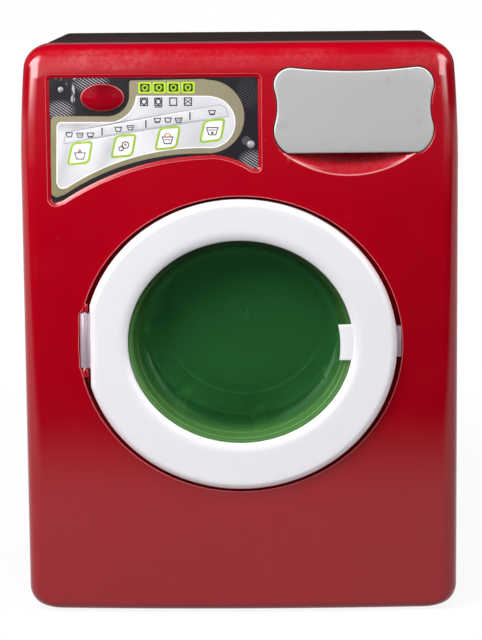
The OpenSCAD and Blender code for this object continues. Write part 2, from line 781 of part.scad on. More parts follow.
module door_ring() {
  color("white") placed() difference() {
    union() {
      difference() {
        ring_form();
        difference() {
          slab(socket_y, door_back + past) polygon(ring_outline(ring_wall));
          flange_oval(fit_gap + ring_wall, socket_y - past, back_ring_y);
        }
        flange_oval(fit_gap, socket_y, door_back);
        turned(window_k) polygon([
          [0, -door_proud - past], [window_rx + bevel_w * (1 + past / bevel_d), -door_proud - past],
          [window_rx, bevel_d - door_proud], [window_rx, socket_y + past], [0, socket_y + past]]);
      }
      // Hinge barrel with its web
      translate([hinge_x, hinge_y, hinge_z - barrel_len / 2]) cylinder(r = barrel_r, h = barrel_len);
      block([hinge_x, hinge_y - barrel_r * 0.75, hinge_z - barrel_len / 2],
        [ring_wall / 2 - hinge_flat, door_back, hinge_z + barrel_len / 2]);
      // Catch tongue at the other side
      intersection() {
        oval_bar(opening_w / 2 - 0.2, opening_h / 2 - 0.2, 2.4, door_back);
        block([ring_rx - ring_wall / 2, 0, door_z + 1 - catch_h / 2],
          [opening_w / 2, door_back, door_z + 1 + catch_h / 2]);
      }
      // Grip tab over the window
      difference() {
        grip_tab_block(0.2 - door_proud, socket_y);
        bar(tab_r, -door_proud - 1, door_back, 0, door_z, 120);
      }
      // Pillars that take the back ring's screws
      for (s = door_screw_places) bar(small_screw_r + 1.4, socket_y - past, back_ring_y, s.x, s.y, 32);
    }
    translate([hinge_x, hinge_y, hinge_z - barrel_len])
      cylinder(r = pin_r + run_gap, h = 2 * barrel_len, $fn = 32);
    for (s = door_screw_places)
      bar(small_screw_r + run_gap, socket_y + 1, door_back + past, s.x, s.y, 32);
  }
}

// Window: a flange behind the ring and a bowl that reaches towards the drum
window_flange_t = 1.8;
bowl_rx = window_rx - 0.7;
bowl_end = socket_y + bowl_d;
bowl_corner = 4;
module door_window() {
  color("green", 0.6) placed() turned(window_k) polygon(concat(
    [[flange_rx, socket_y], [bowl_rx - bowl_wall, socket_y]],
    arc(bowl_rx - bowl_wall - bowl_draft - bowl_corner, bowl_end - bowl_wall - bowl_corner,
      bowl_corner, 0, 90, 5),
    [[0, bowl_end - bowl_wall + 1], [0, bowl_end + 1]],
    arc(bowl_rx - bowl_draft - bowl_corner - bowl_wall, bowl_end - bowl_corner - bowl_wall,
      bowl_corner + bowl_wall, 90, 0, 5),
    [[bowl_rx, socket_y + window_flange_t], [flange_rx, socket_y + window_flange_t]]));
}

// Back ring: closes the channel and presses on the window's flange with a rib
back_ring_t = 1.8;
back_ring_y = door_back - back_ring_t;
module door_back_ring() {
  color("white") placed() difference() {
    union() {
      slab(back_ring_y, door_back) polygon(ring_outline(ring_wall + fit_gap));
      flange_oval(-fit_gap, socket_y + window_flange_t, back_ring_y + past);
    }
    oval_bar(bowl_rx + 0.6, bowl_rx * window_k + 0.6, 0, door_back + past);
    for (s = door_screw_places) bar(small_screw_r + run_gap, 0, door_back + past, s.x, s.y, 32);
  }
}

// Four screws between the window and the ring's rim
door_screw_rx = (flange_rx + fit_gap + ring_rx) / 2;
door_screw_rz = (flange_rz + fit_gap + ring_rz) / 2;
door_screw_places = [for (a = [45, 135, 225, 315])
  [door_screw_rx * cos(a), door_z + door_screw_rz * sin(a)]];
module door_screws() {
  color("silver") placed()
    for (s = door_screw_places)
      screw(small_screw_r, small_head_r, small_head_h, socket_y + 1.5, door_back, s.x, s.y);
}

module hinge_pin() {
  color("silver") placed()
    translate([hinge_x, hinge_y, hinge_z - barrel_len / 2 - lug_len])
      cylinder(r = pin_r, h = barrel_len + 2 * lug_len, $fn = 32);
}

// Panel plate that fills the recess, with holes for the button and the two studs
module control_panel() {
  color("darkslategray") placed() difference() {
    intersection() {
      slab(-bow, panel_back) offset(delta = -0.2) polygon(panel_points());
      difference() {
        behind_face(panel_recess - panel_t);
        behind_face(panel_recess);
      }
    }
    slab(-bow, panel_back) button_oval(0.2);
    for (s = stud_places) bar(stud_shank_r + run_gap, -bow, panel_back, s.x, s.y, 24);
  }
}

// The two studs that hold the panel plate
stud_shank_r = 0.8;
stud_in = [6.6, 4.6];
stud_drop = [6.5, 31.1];
stud_places = [[panel_x0 + stud_in[0], panel_top - stud_drop[0]],
  [panel_x1 - stud_in[1], panel_top - stud_drop[1]]];
stud_heads = [1.3, 1.7];
module panel_studs() {
  color("lightgray") placed()
    for (i = [0, 1])
      let (s = stud_places[i], y = face_y(s.x) + panel_recess - panel_t, ball = stud_heads[i] / sin(60)) {
        bar(stud_shank_r, y - 0.4, panel_back, s.x, s.y, 24);
        difference() {
          translate([s.x, y + ball * cos(60), s.y]) sphere(r = ball, $fn = 96);
          behind_face(panel_recess - panel_t - 0.03);
        }
      }
}

// Oval button: domed cap, skirt, stop flange, and a stem that runs in the switch
module power_button() {
  oval_k = button_h / button_w;
  dome_h = button_proud - 1;
  dome_r = (pow(button_w / 2, 2) + dome_h * dome_h) / (2 * dome_h);
  color("red", 0.8) placed() {
    difference() {
      union() {
        translate([button_x, 0, button_z]) scale([1, 1, oval_k]) intersection() {
          translate([0, dome_y + dome_r, 0]) sphere(r = dome_r, $fn = smooth_fn);
          bar(button_w / 2, dome_y - 1, flange_y + flange_t, fn = smooth_fn);
        }
        oval_bar(button_w / 2 + 1.4, button_h / 2 + 1.4, flange_y, flange_y + flange_t, button_x, button_z);
      }
      oval_bar(button_w / 2 - cap_wall, button_h / 2 - cap_wall, dome_y + dome_h + 0.6,
        flange_y + flange_t + past, button_x, button_z);
    }
    bar(stem_r, dome_y + 1, switch_y + 1.5, button_x, button_z, 32);
    bar(stem_r + 2, dome_y + 1, collar_y, button_x, button_z, 32);
  }
}

// Coil spring between the button's collar and the switch
spring_y = collar_y + spring_wire / 2 + 0.05;
spring_len = switch_y - collar_y - spring_wire - 0.1;
module button_spring() {
  steps = 12;
  sides = 6;
  n = spring_turns * steps;
  color("silver") placed() translate([button_x, spring_y, button_z])
    loft([for (i = [0:n])
      let (a = 360 * i / steps)
      [for (j = [0:sides - 1])
        let (b = -360 * j / sides, rr = spring_r + spring_wire / 2 * cos(b))
        [rr * cos(a), spring_len * i / n + spring_wire / 2 * sin(b), rr * sin(a)]]]);
}

// Push switch: a square body with a round well for the stem
module push_switch() {
  color("black") placed() difference() {
    block([button_x - switch_w / 2, switch_y, button_z - switch_w / 2],
      [button_x + switch_w / 2, board_y, button_z + switch_w / 2]);
    bar(stem_r + run_gap, switch_y - past, board_y - 1, button_x, button_z, 32);
  }
}

// Small lamp beside the switch that lights the button
lamp_r = 1.5;
lamp_x = button_x + switch_w / 2 + lamp_r + 1;
module lamp() {
  color("ivory") placed() {
    bar(lamp_r, board_y - 5, board_y, lamp_x, button_z, 32);
    bar(lamp_r + 0.3, board_y - 1, board_y, lamp_x, button_z, 32);
    translate([lamp_x, board_y - 5, button_z]) sphere(r = lamp_r, $fn = 32);
  }
}

module circuit_board() {
  color("darkgreen") placed() difference() {
    block([board_x, board_y, board_z], [board_x + board_w, board_y + board_t, board_z + board_h]);
    for (s = board_pegs)
      bar(small_screw_r + run_gap, board_y - past, board_y + board_t + past, s.x, s.y, 32);
  }
}

module board_screws() {
  color("silver") placed()
    for (s = board_pegs)
      screw(small_screw_r, small_head_r, small_head_h, board_y - 5, board_y + board_t, s.x, s.y);
}

// Drawer: waisted front plate and an open tray with a divider, runners and a stop
module detergent_drawer() {
  color("darkgray") placed() {
    bowed_slab(0, plate_back) polygon(plate_points());
    difference() {
      union() {
        block([tray_x, plate_back - 0.5, tray_z], [tray_x + tray_w, tray_end, tray_z + tray_h]);
        for (side = [0, 1])
          translate([side * (tray_w + runner_w), 0, 0])
            block([tray_x - runner_w, runner_y, tray_z + tray_h / 2 - runner_h / 2],
              [tray_x, tray_end, tray_z + tray_h / 2 + runner_h / 2]);
      }
      block([tray_x + tray_wall, plate_back + tray_wall, tray_z + tray_wall],
        [tray_x + tray_w * 0.62, tray_end - tray_wall, tray_z + tray_h + past]);
      block([tray_x + tray_w * 0.62 + tray_wall, plate_back + tray_wall, tray_z + tray_wall],
        [tray_x + tray_w - tray_wall, tray_end - tray_wall, tray_z + tray_h + past]);
    }
  }
}

// Guide: a channel behind the front that carries the tray on its runners
module drawer_guide() {
  room = fit_gap;
  guide_web = 0.4;
  color("gainsboro") placed() difference() {
    union() {
      block([drawer_x - guide_half, guide_back, tray_z - room - guide_wall],
        [drawer_x + guide_half, guide_end, tray_z + tray_h + 0.6]);
      for (side = [-1, 1]) {
        bar(guide_boss_r, ear_y, ear_y + guide_ear_t, drawer_x + side * ear_x, ear_z, 32);
        translate([drawer_x + side * (ear_x + guide_half) / 2, 0, ear_z])
          block([-guide_boss_r / 2 - guide_web, ear_y, -guide_boss_r],
            [guide_boss_r / 2 + guide_web, ear_y + guide_ear_t, guide_boss_r]);
      }
    }
    block([tray_x - room, guide_back - past, tray_z - room],
      [tray_x + tray_w + room, guide_end + past, tray_z + tray_h + 2]);
    // Grooves for the runners, open at the rear and closed in front as the stop
    block([tray_x - runner_w - room, runner_stop, tray_z + tray_h / 2 - runner_h / 2 - room],
      [tray_x + tray_w + runner_w + room, guide_end + past, tray_z + tray_h / 2 + runner_h / 2 + room]);
    for (side = [-1, 1])
      bar(small_screw_r + run_gap, guide_back, ear_y + guide_ear_t + past,
        drawer_x + side * ear_x, ear_z, 32);
  }
}

module guide_screws() {
  color("silver") placed()
    for (side = [-1, 1])
      screw(small_screw_r, small_head_r, small_head_h,
        well_d + rear_wall - 0.7, ear_y + guide_ear_t, drawer_x + side * ear_x, ear_z);
}

// Drum: a flared tub with a rim bead, a stepped bottom, a hub and lifting fins
drum_mouth_r = drum_r + drum_flare;
hub_face = drum_bottom - 2;
module drum() {
  color("gainsboro") placed() difference() {
    union() {
      translate([0, 0, door_z]) rotate([-90, 0, 0]) rotate_extrude($fn = smooth_fn) polygon(concat(
        [[drum_mouth_r, drum_y + 1], [drum_mouth_r + 0.6, drum_y], [drum_mouth_r + drum_wall + 1, drum_y],
          [drum_mouth_r + drum_wall + 1, drum_y + 3], [drum_mouth_r + drum_wall, drum_y + 3]],
        arc(drum_r + drum_wall - 5, drum_bottom + plate_t - 5, 5, 0, 90, 5),
        [[hub_r, drum_bottom + plate_t], [hub_r, hub_end], [0, hub_end], [0, hub_face],
          [hub_r + 2, hub_face], [hub_r + 3, drum_bottom], [step_r - 1, drum_bottom],
          [step_r, drum_bottom - 1.2]],
        arc(drum_r - 3, drum_bottom - 4.2, 3, 90, 0, 4)));
      for (i = [0:fin_count - 1])
        translate([0, 0, door_z]) rotate([0, -360 * i / fin_count - 4.7, 0])
          translate([0, 0, -fin_t / 2]) linear_extrude(fin_t) polygon([
            [drum_r - fin_h, drum_bottom - 0.2], [drum_r + drum_wall / 2, drum_bottom - 0.2],
            [drum_r + drum_wall / 2, drum_bottom - fin_len],
            [drum_r - fin_h * 0.45, drum_bottom - fin_len * 0.72]]);
    }
    bar(shaft_r, drum_bottom + 1, hub_end + past, 0, door_z, 32);
    bar(screw_r, hub_face - past, drum_bottom + 1.5, 0, door_z, 32);
  }
}

// Steel shaft from the drum's hub through the bush to the gear cover
shaft_start = drum_bottom + 1;
module drum_shaft() {
  color("silver") placed() difference() {
    bar(shaft_r - run_gap, shaft_start, cover_y + cover_t - 1, 0, door_z, 32);
    bar(screw_r, shaft_start - past, shaft_start + 8, 0, door_z, 24);
  }
}

module drum_screw() {
  color("silver") placed()
    screw(screw_r - run_gap, head_r, head_h, shaft_start + 7, hub_face, 0, door_z);
}

module drum_bush() {
  color("darkgoldenrod") placed() difference() {
    union() {
      bar(bush_flange_r, hub_end + fit_gap, case_y, 0, door_z);
      bar(bush_r - run_gap, case_y - 0.1, bush_end, 0, door_z);
    }
    bar(shaft_r, hub_end, slow_y, 0, door_z, 32);
  }
}

// Half angle of a tooth at radius r, for a wheel of pitch radius p
function involute(a) = tan(a) * 180 / PI - a;
function tooth_half(r, p, m) =
  let (base = p * cos(pressure_a))
  (PI * m / 4 - backlash / 2) / p * 180 / PI + involute(pressure_a)
    - involute(acos(min(1, base / max(r, base))));

// Outline of a spur gear with involute teeth, one of them centred on the angle at
function gear_points(m, teeth, add, ded, at) =
  let (
    p = m * teeth / 2,
    base = p * cos(pressure_a),
    root = p - ded * m,
    tip = p + add * m,
    start = max(base, root),
    radii = [for (i = [0:4]) start + (tip - start) * i / 4]
  )
  [for (k = [0:teeth - 1])
    let (mid = at + 360 * k / teeth)
    each concat(
      [root * [cos(mid - tooth_half(start, p, m)), sin(mid - tooth_half(start, p, m))]],
      [for (r = radii) r * [cos(mid - tooth_half(r, p, m)), sin(mid - tooth_half(r, p, m))]],
      [for (i = [4:-1:0])
        radii[i] * [cos(mid + tooth_half(radii[i], p, m)), sin(mid + tooth_half(radii[i], p, m))]],
      [root * [cos(mid + tooth_half(start, p, m)), sin(mid + tooth_half(start, p, m))]])];

module wheel(m, teeth, at, y0, y1, place) {
  slab(y0, y1) translate(place) polygon(gear_points(m, teeth, wheel_add, wheel_ded, at));
}

module pinion(m, teeth, at, y0, y1, place) {
  slab(y0, y1) translate(place) polygon(gear_points(m, teeth, pinion_add, pinion_ded, at));
}

// Large gear on the drum shaft, with a thin web and round lightening holes
module drum_gear() {
  rim = 2;
  web_in = 1.4;
  hole_r = 4.2;
  web_r = slow_module * (drum_teeth / 2 - wheel_ded) - rim;
  color("ivory") placed() difference() {
    union() {
      wheel(slow_module, drum_teeth, second_a, slow_y, slow_y + slow_face, drum_at);
      bar(hub_r, slow_y, gear_hub_end, 0, door_z);
    }
    for (side = [0, 1]) difference() {
      bar(web_r, side == 0 ? slow_y - past : slow_y + slow_face - web_in,
        side == 0 ? slow_y + web_in : slow_y + slow_face + past, 0, door_z);
      bar(hub_r, slow_y - 2 * past, gear_hub_end + past, 0, door_z);
    }
    for (a = [0:60:300])
      bar(hole_r, slow_y - past, slow_y + slow_face + past,
        (hub_r + web_r) / 2 * cos(a), door_z + (hub_r + web_r) / 2 * sin(a), 32);
    bar(shaft_r, slow_y - past, gear_hub_end + past, 0, door_z, 32);
  }
}

// Double gear that drives the drum gear
module second_gear() {
  color("ivory") placed() difference() {
    union() {
      pinion(slow_module, slow_pinion_teeth, second_a + 180 + 180 / slow_pinion_teeth,
        slow_y, slow_y + slow_face, second_at);
      bar(slow_module * (slow_pinion_teeth / 2 - pinion_ded), slow_y + slow_face - past, fast_y + past,
        second_at.x, second_at.y, 32);
      wheel(fast_module, wheel_teeth, first_a, fast_y, fast_y + fast_face, second_at);
      bar(gear_pin_r + 2, case_y + case_wall + run_gap, slow_y + past, second_at.x, second_at.y, 32);
      bar(gear_pin_r + 2, fast_y + past, cover_y - 0.1, second_at.x, second_at.y, 32);
    }
    bar(gear_pin_r + run_gap, case_y, cover_y + past, second_at.x, second_at.y, 32);
  }
}

// Double gear between the motor and the second gear
module first_gear() {
  color("ivory") placed() difference() {
    union() {
      pinion(fast_module, fast_pinion_teeth, first_a + 180 + 180 / fast_pinion_teeth,
        fast_y, fast_y + fast_face, first_at);
      bar(fast_module * (fast_pinion_teeth / 2 - pinion_ded), fast_y + fast_face - past, first_y + past,
        first_at.x, first_at.y, 32);
      wheel(fast_module, wheel_teeth, motor_a, first_y, first_y + fast_face, first_at);
      bar(gear_pin_r + 1.6, case_y + case_wall + run_gap, fast_y + past, first_at.x, first_at.y, 32);
      bar(gear_pin_r + 1.6, first_y + past, cover_y - 0.1, first_at.x, first_at.y, 32);
    }
    bar(gear_pin_r + run_gap, case_y, cover_y + past, first_at.x, first_at.y, 32);
  }
}

module gear_pins() {
  color("silver") placed()
    for (s = [second_at, first_at]) bar(gear_pin_r, case_y + 0.8, cover_y + cover_t - 0.6, s.x, s.y, 32);
}

// Outline that wraps the gear train
module train_outline(inset) {
  hull() {
    translate(drum_at) circle(r = case_drum_r - inset, $fn = 64);
    translate(second_at) circle(r = case_wheel_r - inset);
    translate(first_at) circle(r = case_wheel_r - inset);
    translate(motor_at) circle(r = case_pinion_r - inset, $fn = 32);
  }
}

module case_ear(y0, y1, s) {
  bar(ear_r, y0, y1, s.x, s.y);
}

// Gear case: a cup, open at the rear, that carries the drum's bush
module gear_case() {
  color("silver") placed() difference() {
    union() {
      difference() {
        union() {
          slab(case_y, cover_y) train_outline(0);
          for (s = case_ears) case_ear(case_ear_y, cover_y, s);
        }
        slab(case_y + case_wall, cover_y + past) train_outline(case_wall);
      }
      bar(bush_r + case_wall, case_y, bush_end, 0, door_z);
    }
    bar(bush_r, case_y - past, bush_end + past, 0, door_z);
    for (s = [second_at, first_at]) bar(gear_pin_r, case_y + 0.8, cover_y, s.x, s.y, 32);
    for (s = case_ears) bar(screw_r + run_gap, case_ear_y - past, cover_y + past, s.x, s.y, 32);
  }
}

// Cover of the gear case, with the motor's socket on its rear
module gear_cover() {
  socket_h = 10;
  color("gray") placed() difference() {
    union() {
      slab(cover_y, motor_y) train_outline(0);
      for (s = case_ears) case_ear(cover_y, motor_y, s);
      bar(motor_dia / 2 + fit_gap + 1.6, cover_y, motor_y + socket_h, motor_at.x, motor_at.y);
      bar(shaft_r + 3, gear_hub_end + fit_gap, cover_y + past, 0, door_z);
    }
    bar(motor_dia / 2 + fit_gap, motor_y, motor_y + socket_h + past, motor_at.x, motor_at.y);
    bar(motor_nose_r + fit_gap, cover_y - past, motor_y + past, motor_at.x, motor_at.y, 32);
    bar(shaft_r, slow_y, cover_y + cover_t - 1, 0, door_z, 32);
    for (s = [second_at, first_at]) bar(gear_pin_r, cover_y - past, cover_y + cover_t - 0.6, s.x, s.y, 32);
    for (s = case_ears) bar(screw_r + run_gap, cover_y - past, motor_y + past, s.x, s.y, 32);
  }
}

module gearbox_screws() {
  color("silver") placed()
    for (s = case_ears) screw(screw_r, head_r, head_h, motor_y + 8, case_ear_y, s.x, s.y);
}

motor_nose_r = 3;
module motor_pinion() {
  color("darkgoldenrod") placed() difference() {
    pinion(fast_module, fast_pinion_teeth, motor_a + 180 + 180 / fast_pinion_teeth,
      first_y, first_y + fast_face, motor_at);
    bar(motor_shaft_r, first_y - past, first_y + fast_face + past, motor_at.x, motor_at.y, 24);
  }
}

module motor_shaft() {
  color("silver") placed()
    bar(motor_shaft_r - run_gap / 2, first_y - 0.6, motor_y + 2.5, motor_at.x, motor_at.y, 24);
}

// Small motor: a can with two flats, a nose in the cover and a rear cap with two tags
module motor() {
  color("silver") placed() difference() {
    union() {
      intersection() {
        bar(motor_dia / 2, motor_y, motor_y + motor_len, motor_at.x, motor_at.y);
        block([motor_at.x - motor_dia, motor_y, motor_at.y - motor_flat / 2],
          [motor_at.x + motor_dia, motor_y + motor_len, motor_at.y + motor_flat / 2]);
      }
      bar(motor_nose_r, cover_y + 0.5, motor_y + past, motor_at.x, motor_at.y, 32);
      bar(motor_flat / 2 - 0.6, motor_y + motor_len - past, motor_y + motor_len + 1.5,
        motor_at.x, motor_at.y);
      for (side = [-1, 1])
        block([motor_at.x + side * 4 - 0.9, motor_y + motor_len, motor_at.y - 0.3],
          [motor_at.x + side * 4 + 0.9, motor_y + motor_len + 4.5, motor_at.y + 0.3]);
    }
    bar(motor_shaft_r + run_gap / 2, cover_y, motor_y + 3, motor_at.x, motor_at.y, 24);
  }
}

// Battery box, open to the rear, with a flange behind the housing's wall
module battery_box() {
  color("dimgray") placed() difference() {
    union() {
      block([-box_in_w / 2 - box_wall, box_front, box_in_z - box_wall],
        [box_in_w / 2 + box_wall, wall_in, box_in_z + box_in_h + box_wall]);
      block([-box_in_w / 2 - box_wall - box_flange, wall_in - 1.8, box_in_z],
        [box_in_w / 2 + box_wall + box_flange, wall_in, hatch_z1 + 2]);
      block([-hatch_tab_w / 2 - 2, wall_in - 1.8, hatch_z1],
        [hatch_tab_w / 2 + 2, wall_in, hatch_z1 + hatch_tab + 2]);
      bar(screw_r + 1.8, wall_in - 10, wall_in, 0, hatch_screw_z);
    }
    block([-box_in_w / 2, box_front + box_wall, box_in_z],
      [box_in_w / 2, wall_in + past, box_in_z + box_in_h]);
    bar(screw_r + run_gap, wall_in - 9, wall_in + past, 0, hatch_screw_z, 32);
  }
}

// Two cells that point opposite ways
module batteries() {
  color("goldenrod") placed()
    for (i = [0, 1])
      translate([0, cell_y, i == 0 ? cell_low : cell_high]) rotate([0, i == 0 ? 90 : -90, 0])
        translate([0, 0, -cell_len / 2]) {
          cylinder(d = cell_dia, h = cell_len);
          cylinder(d = cell_dia * 0.38, h = cell_len + 1, $fn = 32);
        }
}

// Contact plates at both ends of the cells, with a low dimple for each cell
contact_t = 0.5;
module battery_contacts() {
  color("silver") placed()
    for (side = [-1, 1]) {
      outer = side * box_in_w / 2;
      for (z = side > 0 ? [cell_low, cell_high] : [(cell_low + cell_high) / 2]) {
        reach = side > 0 ? cell_dia * 0.4 : cell_dia * 0.9;
        block([min(outer, outer - side * contact_t), cell_y - cell_dia * 0.35, z - reach],
          [max(outer, outer - side * contact_t), cell_y + cell_dia * 0.35, z + reach]);
      }
      for (z = [cell_low, cell_high])
        let (button = (z == cell_low) == (side > 0) ? 1 : 0)
          translate([outer - side * contact_t * 0.5, cell_y, z]) rotate([0, -side * 90, 0])
            cylinder(r1 = 3.4, r2 = 2, h = cell_end - button + 0.4 - contact_t * 0.5, $fn = 32);
    }
}

// Hatch over the battery box, level with the rear face
module battery_cover() {
  color("dimgray") placed() difference() {
    union() {
      slab(wall_in, body_d - 0.1) hatch_outline(0.25);
      // Two hooks that reach behind the housing's wall
      for (side = [-1, 1]) {
        block([side * 14 - 4, wall_in - 1.8, hatch_z0 - hook_h],
          [side * 14 + 4, wall_in - 0.1, hatch_z0 + hook_h]);
        block([side * 14 - 4, wall_in - 1.8, hatch_z0 + 0.4],
          [side * 14 + 4, wall_in + 0.2, hatch_z0 + hook_h]);
      }
    }
    bar(screw_r + run_gap, wall_in - past, body_d, 0, hatch_screw_z, 32);
    bar(head_r + fit_gap, wall_in + 0.9, body_d, 0, hatch_screw_z, 32);
    for (i = [0:4])
      block([-11, body_d - 0.7, hatch_z0 + 8 + i * 4], [11, body_d, hatch_z0 + 9.2 + i * 4]);
  }
}

module cover_screw() {
  color("silver") placed()
    screw(screw_r, head_r, 1.1, wall_in - 7, wall_in + 0.9, 0, hatch_screw_z);
}

front_fascia();
rear_housing();
feet();
housing_screws();
door_ring();
door_window();
door_back_ring();
door_screws();
hinge_pin();
control_panel();
panel_studs();
power_button();
button_spring();
push_switch();
lamp();
circuit_board();
board_screws();
detergent_drawer();
drawer_guide();
guide_screws();
drum();
drum_shaft();
drum_screw();
drum_bush();
drum_gear();
second_gear();
first_gear();
gear_pins();
gear_case();
gear_cover();
gearbox_screws();
motor_pinion();
motor_shaft();
motor();
battery_box();
batteries();
battery_contacts();
battery_cover();
cover_screw();
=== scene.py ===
"""Toy washing machine: visible pieces, finishes and photo stage over the packed frame."""
import math
from functools import reduce

import bmesh
import bpy
import numpy as np
from bpy.props import FloatProperty, FloatVectorProperty, PointerProperty
from mathutils import Matrix, Vector
from mathutils.geometry import delaunay_2d_cdt


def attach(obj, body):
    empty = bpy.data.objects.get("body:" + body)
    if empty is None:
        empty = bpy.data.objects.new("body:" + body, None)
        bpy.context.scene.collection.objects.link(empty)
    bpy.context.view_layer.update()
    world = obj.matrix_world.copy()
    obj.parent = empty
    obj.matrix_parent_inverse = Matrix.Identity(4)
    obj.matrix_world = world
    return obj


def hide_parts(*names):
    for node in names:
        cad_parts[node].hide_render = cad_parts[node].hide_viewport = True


bl_info = {
    "name": "Toy Washing Machine",
    "version": (1, 0, 0),
    "blender": (4, 5, 0),
    "location": "View3D > Sidebar > Washer",
    "description": "Builds the visible pieces and finishes of a toy washing machine",
    "category": "Object",
}

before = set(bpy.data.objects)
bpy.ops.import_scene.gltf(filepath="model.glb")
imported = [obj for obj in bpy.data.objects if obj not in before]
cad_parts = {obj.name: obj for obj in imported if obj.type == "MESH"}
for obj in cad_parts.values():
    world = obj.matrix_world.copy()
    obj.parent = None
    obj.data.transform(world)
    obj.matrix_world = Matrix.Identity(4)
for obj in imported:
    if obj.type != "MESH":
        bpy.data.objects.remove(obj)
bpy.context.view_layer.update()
# Distance from the frame's origin to the middle of the front face, in millimetres
FACE_MIDDLE = -84.5
# Points closer than this become one point, in millimetres
WELD_GAP = 1e-4


# ---------------------------------------------------------------- sizes and colours

def length(name, description, default):
    return FloatProperty(name=name, description=description, default=default,
                         unit="LENGTH", subtype="DISTANCE", precision=4)


def share(name, description, default):
    return FloatProperty(name=name, description=description, default=default,
                         subtype="FACTOR", min=0.0, max=1.0)


def watts(name, description, default):
    return FloatProperty(name=name, description=description + " in watts", default=default)


def turn(name, description, default):
    return FloatProperty(name=name, description=description, default=default,
                         unit="ROTATION", subtype="ANGLE")


def colour(name, description, default):
    """A colour given as the eye sees it, 0 to 255, and kept as linear light."""
    linear = [(c / 255 / 12.92 if c / 255 <= 0.04045 else ((c / 255 + 0.055) / 1.055) ** 2.4)
              for c in default]
    return FloatVectorProperty(name=name, description=description, default=(*linear, 1.0),
                               size=4, subtype="COLOR", min=0.0, max=1.0)


class WasherBody(bpy.types.PropertyGroup):
    """Sizes of the red front shell and the dark housing"""
    width: length("Width", "Width across the red front", 0.195)
    height: length("Height", "Height of the top above the floor", 0.2575)
    front_depth: length("Front depth", "Depth of the red front shell", 0.024)
    bow: length("Bow", "How far the middle of the face stands out from its sides", 0.0035)
    front_wall: length("Front wall", "Wall of the red front shell", 0.0025)
    top_corner: length("Top corners", "Radius of the two upper corners", 0.011)
    base_corner: length("Base corners", "Radius of the two lower corners", 0.010)
    side_round: length("Side rounding", "Rounding where the face meets the sides", 0.008)
    top_round: length("Top rounding", "Rounding where the face meets the top", 0.012)
    base_round: length("Base rounding", "Rounding where the face meets the underside", 0.004)
    side_lean: length("Side lean", "How far each side leans in towards the top", 0.002)
    lean_height: length("Lean height", "Height over which the sides lean in", 0.045)
    floor_gap: length("Floor gap", "Gap from the floor to the red front", 0.0012)
    edge_round: length("Edge rounding", "Rounding round the openings in the face", 0.0007)
    face_pitch: length("Face mesh", "Spacing of the points on the front face", 0.003)


class WasherDoor(bpy.types.PropertyGroup):
    """Sizes of the door, its window and its seat"""
    centre: length("Centre height", "Height of the door's centre", 0.1234)
    opening_width: length("Opening width", "Width of the opening in the face", 0.1445)
    opening_height: length("Opening height", "Height of the opening in the face", 0.1333)
    seat_depth: length("Seat depth", "Depth of the seat behind the face", 0.0085)
    ring_half_width: length("Ring half width", "Half width of the door's ring", 0.070)
    ring_half_height: length("Ring half height", "Half height of the door's ring", 0.0655)
    flat_side: length("Straight side", "Distance of the straight hinge side", 0.0672)
    proud: length("Stand out", "How far the door stands out of the face", 0.003)
    ring_back: length("Ring back", "Depth of the ring's rim behind the face", 0.0055)
    ring_wall: length("Ring wall", "Wall of the ring", 0.0022)
    ring_round: length("Ring rounding", "Rounding of the ring's outer edge", 0.0032)
    window_half_width: length("Window half width", "Half width of the window", 0.05025)
    window_half_height: length("Window half height", "Half height of the window", 0.04575)
    window_rise: length("Window rise", "Height of the window's centre above the door's", 0.0015)
    bowl_depth: length("Bowl depth", "Depth of the window bowl behind the ring", 0.017)
    bowl_draft: length("Bowl draft", "How much the bowl narrows to its bottom", 0.0025)
    bowl_wall: length("Bowl wall", "Wall of the window bowl", 0.0016)
    bowl_corner: length("Bowl corner", "Inner rounding of the bowl's bottom", 0.004)
    bevel: length("Window bevel", "Width of the soft bevel round the window", 0.0058)
    hinge_rise: length("Hinge rise", "Height of the hinge above the door's centre", 0.0022)


class WasherControls(bpy.types.PropertyGroup):
    """Sizes of the control panel, the button and the drawer"""
    panel_left: length("Panel left", "Left edge of the panel recess", -0.085)
    panel_right: length("Panel right", "Right edge of the panel recess", 0.010)
    panel_drop: length("Panel drop", "Distance of the panel below the top", 0.0132)
    panel_lip: length("Panel lip", "Width of the rim round the panel recess", 0.0014)
    film_depth: length("Film depth", "Depth of the printed film below the face", 0.0006)
    button_x: length("Button place", "Middle of the button from the middle", -0.060)
    button_drop: length("Button drop", "Distance of the button below the top", 0.0232)
    button_width: length("Button width", "Width of the button", 0.0194)
    button_height: length("Button height", "Height of the button", 0.0121)
    button_proud: length("Button stand out", "Height of the dome over the film", 0.0032)
    drawer_x: length("Drawer place", "Middle of the drawer from the middle", 0.0509)
    plate_half: length("Drawer half width", "Half width of the drawer's front", 0.0352)
    plate_drop: length("Drawer drop", "Distance of the drawer's front below the top", 0.0108)
    plate_height: length("Drawer height", "Height of the drawer's front", 0.0376)
    waist: length("Waist", "How far the drawer's sides are waisted", 0.0015)
    sag: length("Sag", "How far the drawer's upper edge sags", 0.0016)
    well_depth: length("Well depth", "Depth of the well round the drawer's front", 0.0064)
    scoop_radius: length("Scoop radius", "Radius of the finger scoop's edge", 0.050)
    scoop_drop: length("Scoop drop", "Height of the scoop below the drawer", 0.0098)
    scoop_depth: length("Scoop depth", "Depth of the scoop at the drawer's front", 0.008)


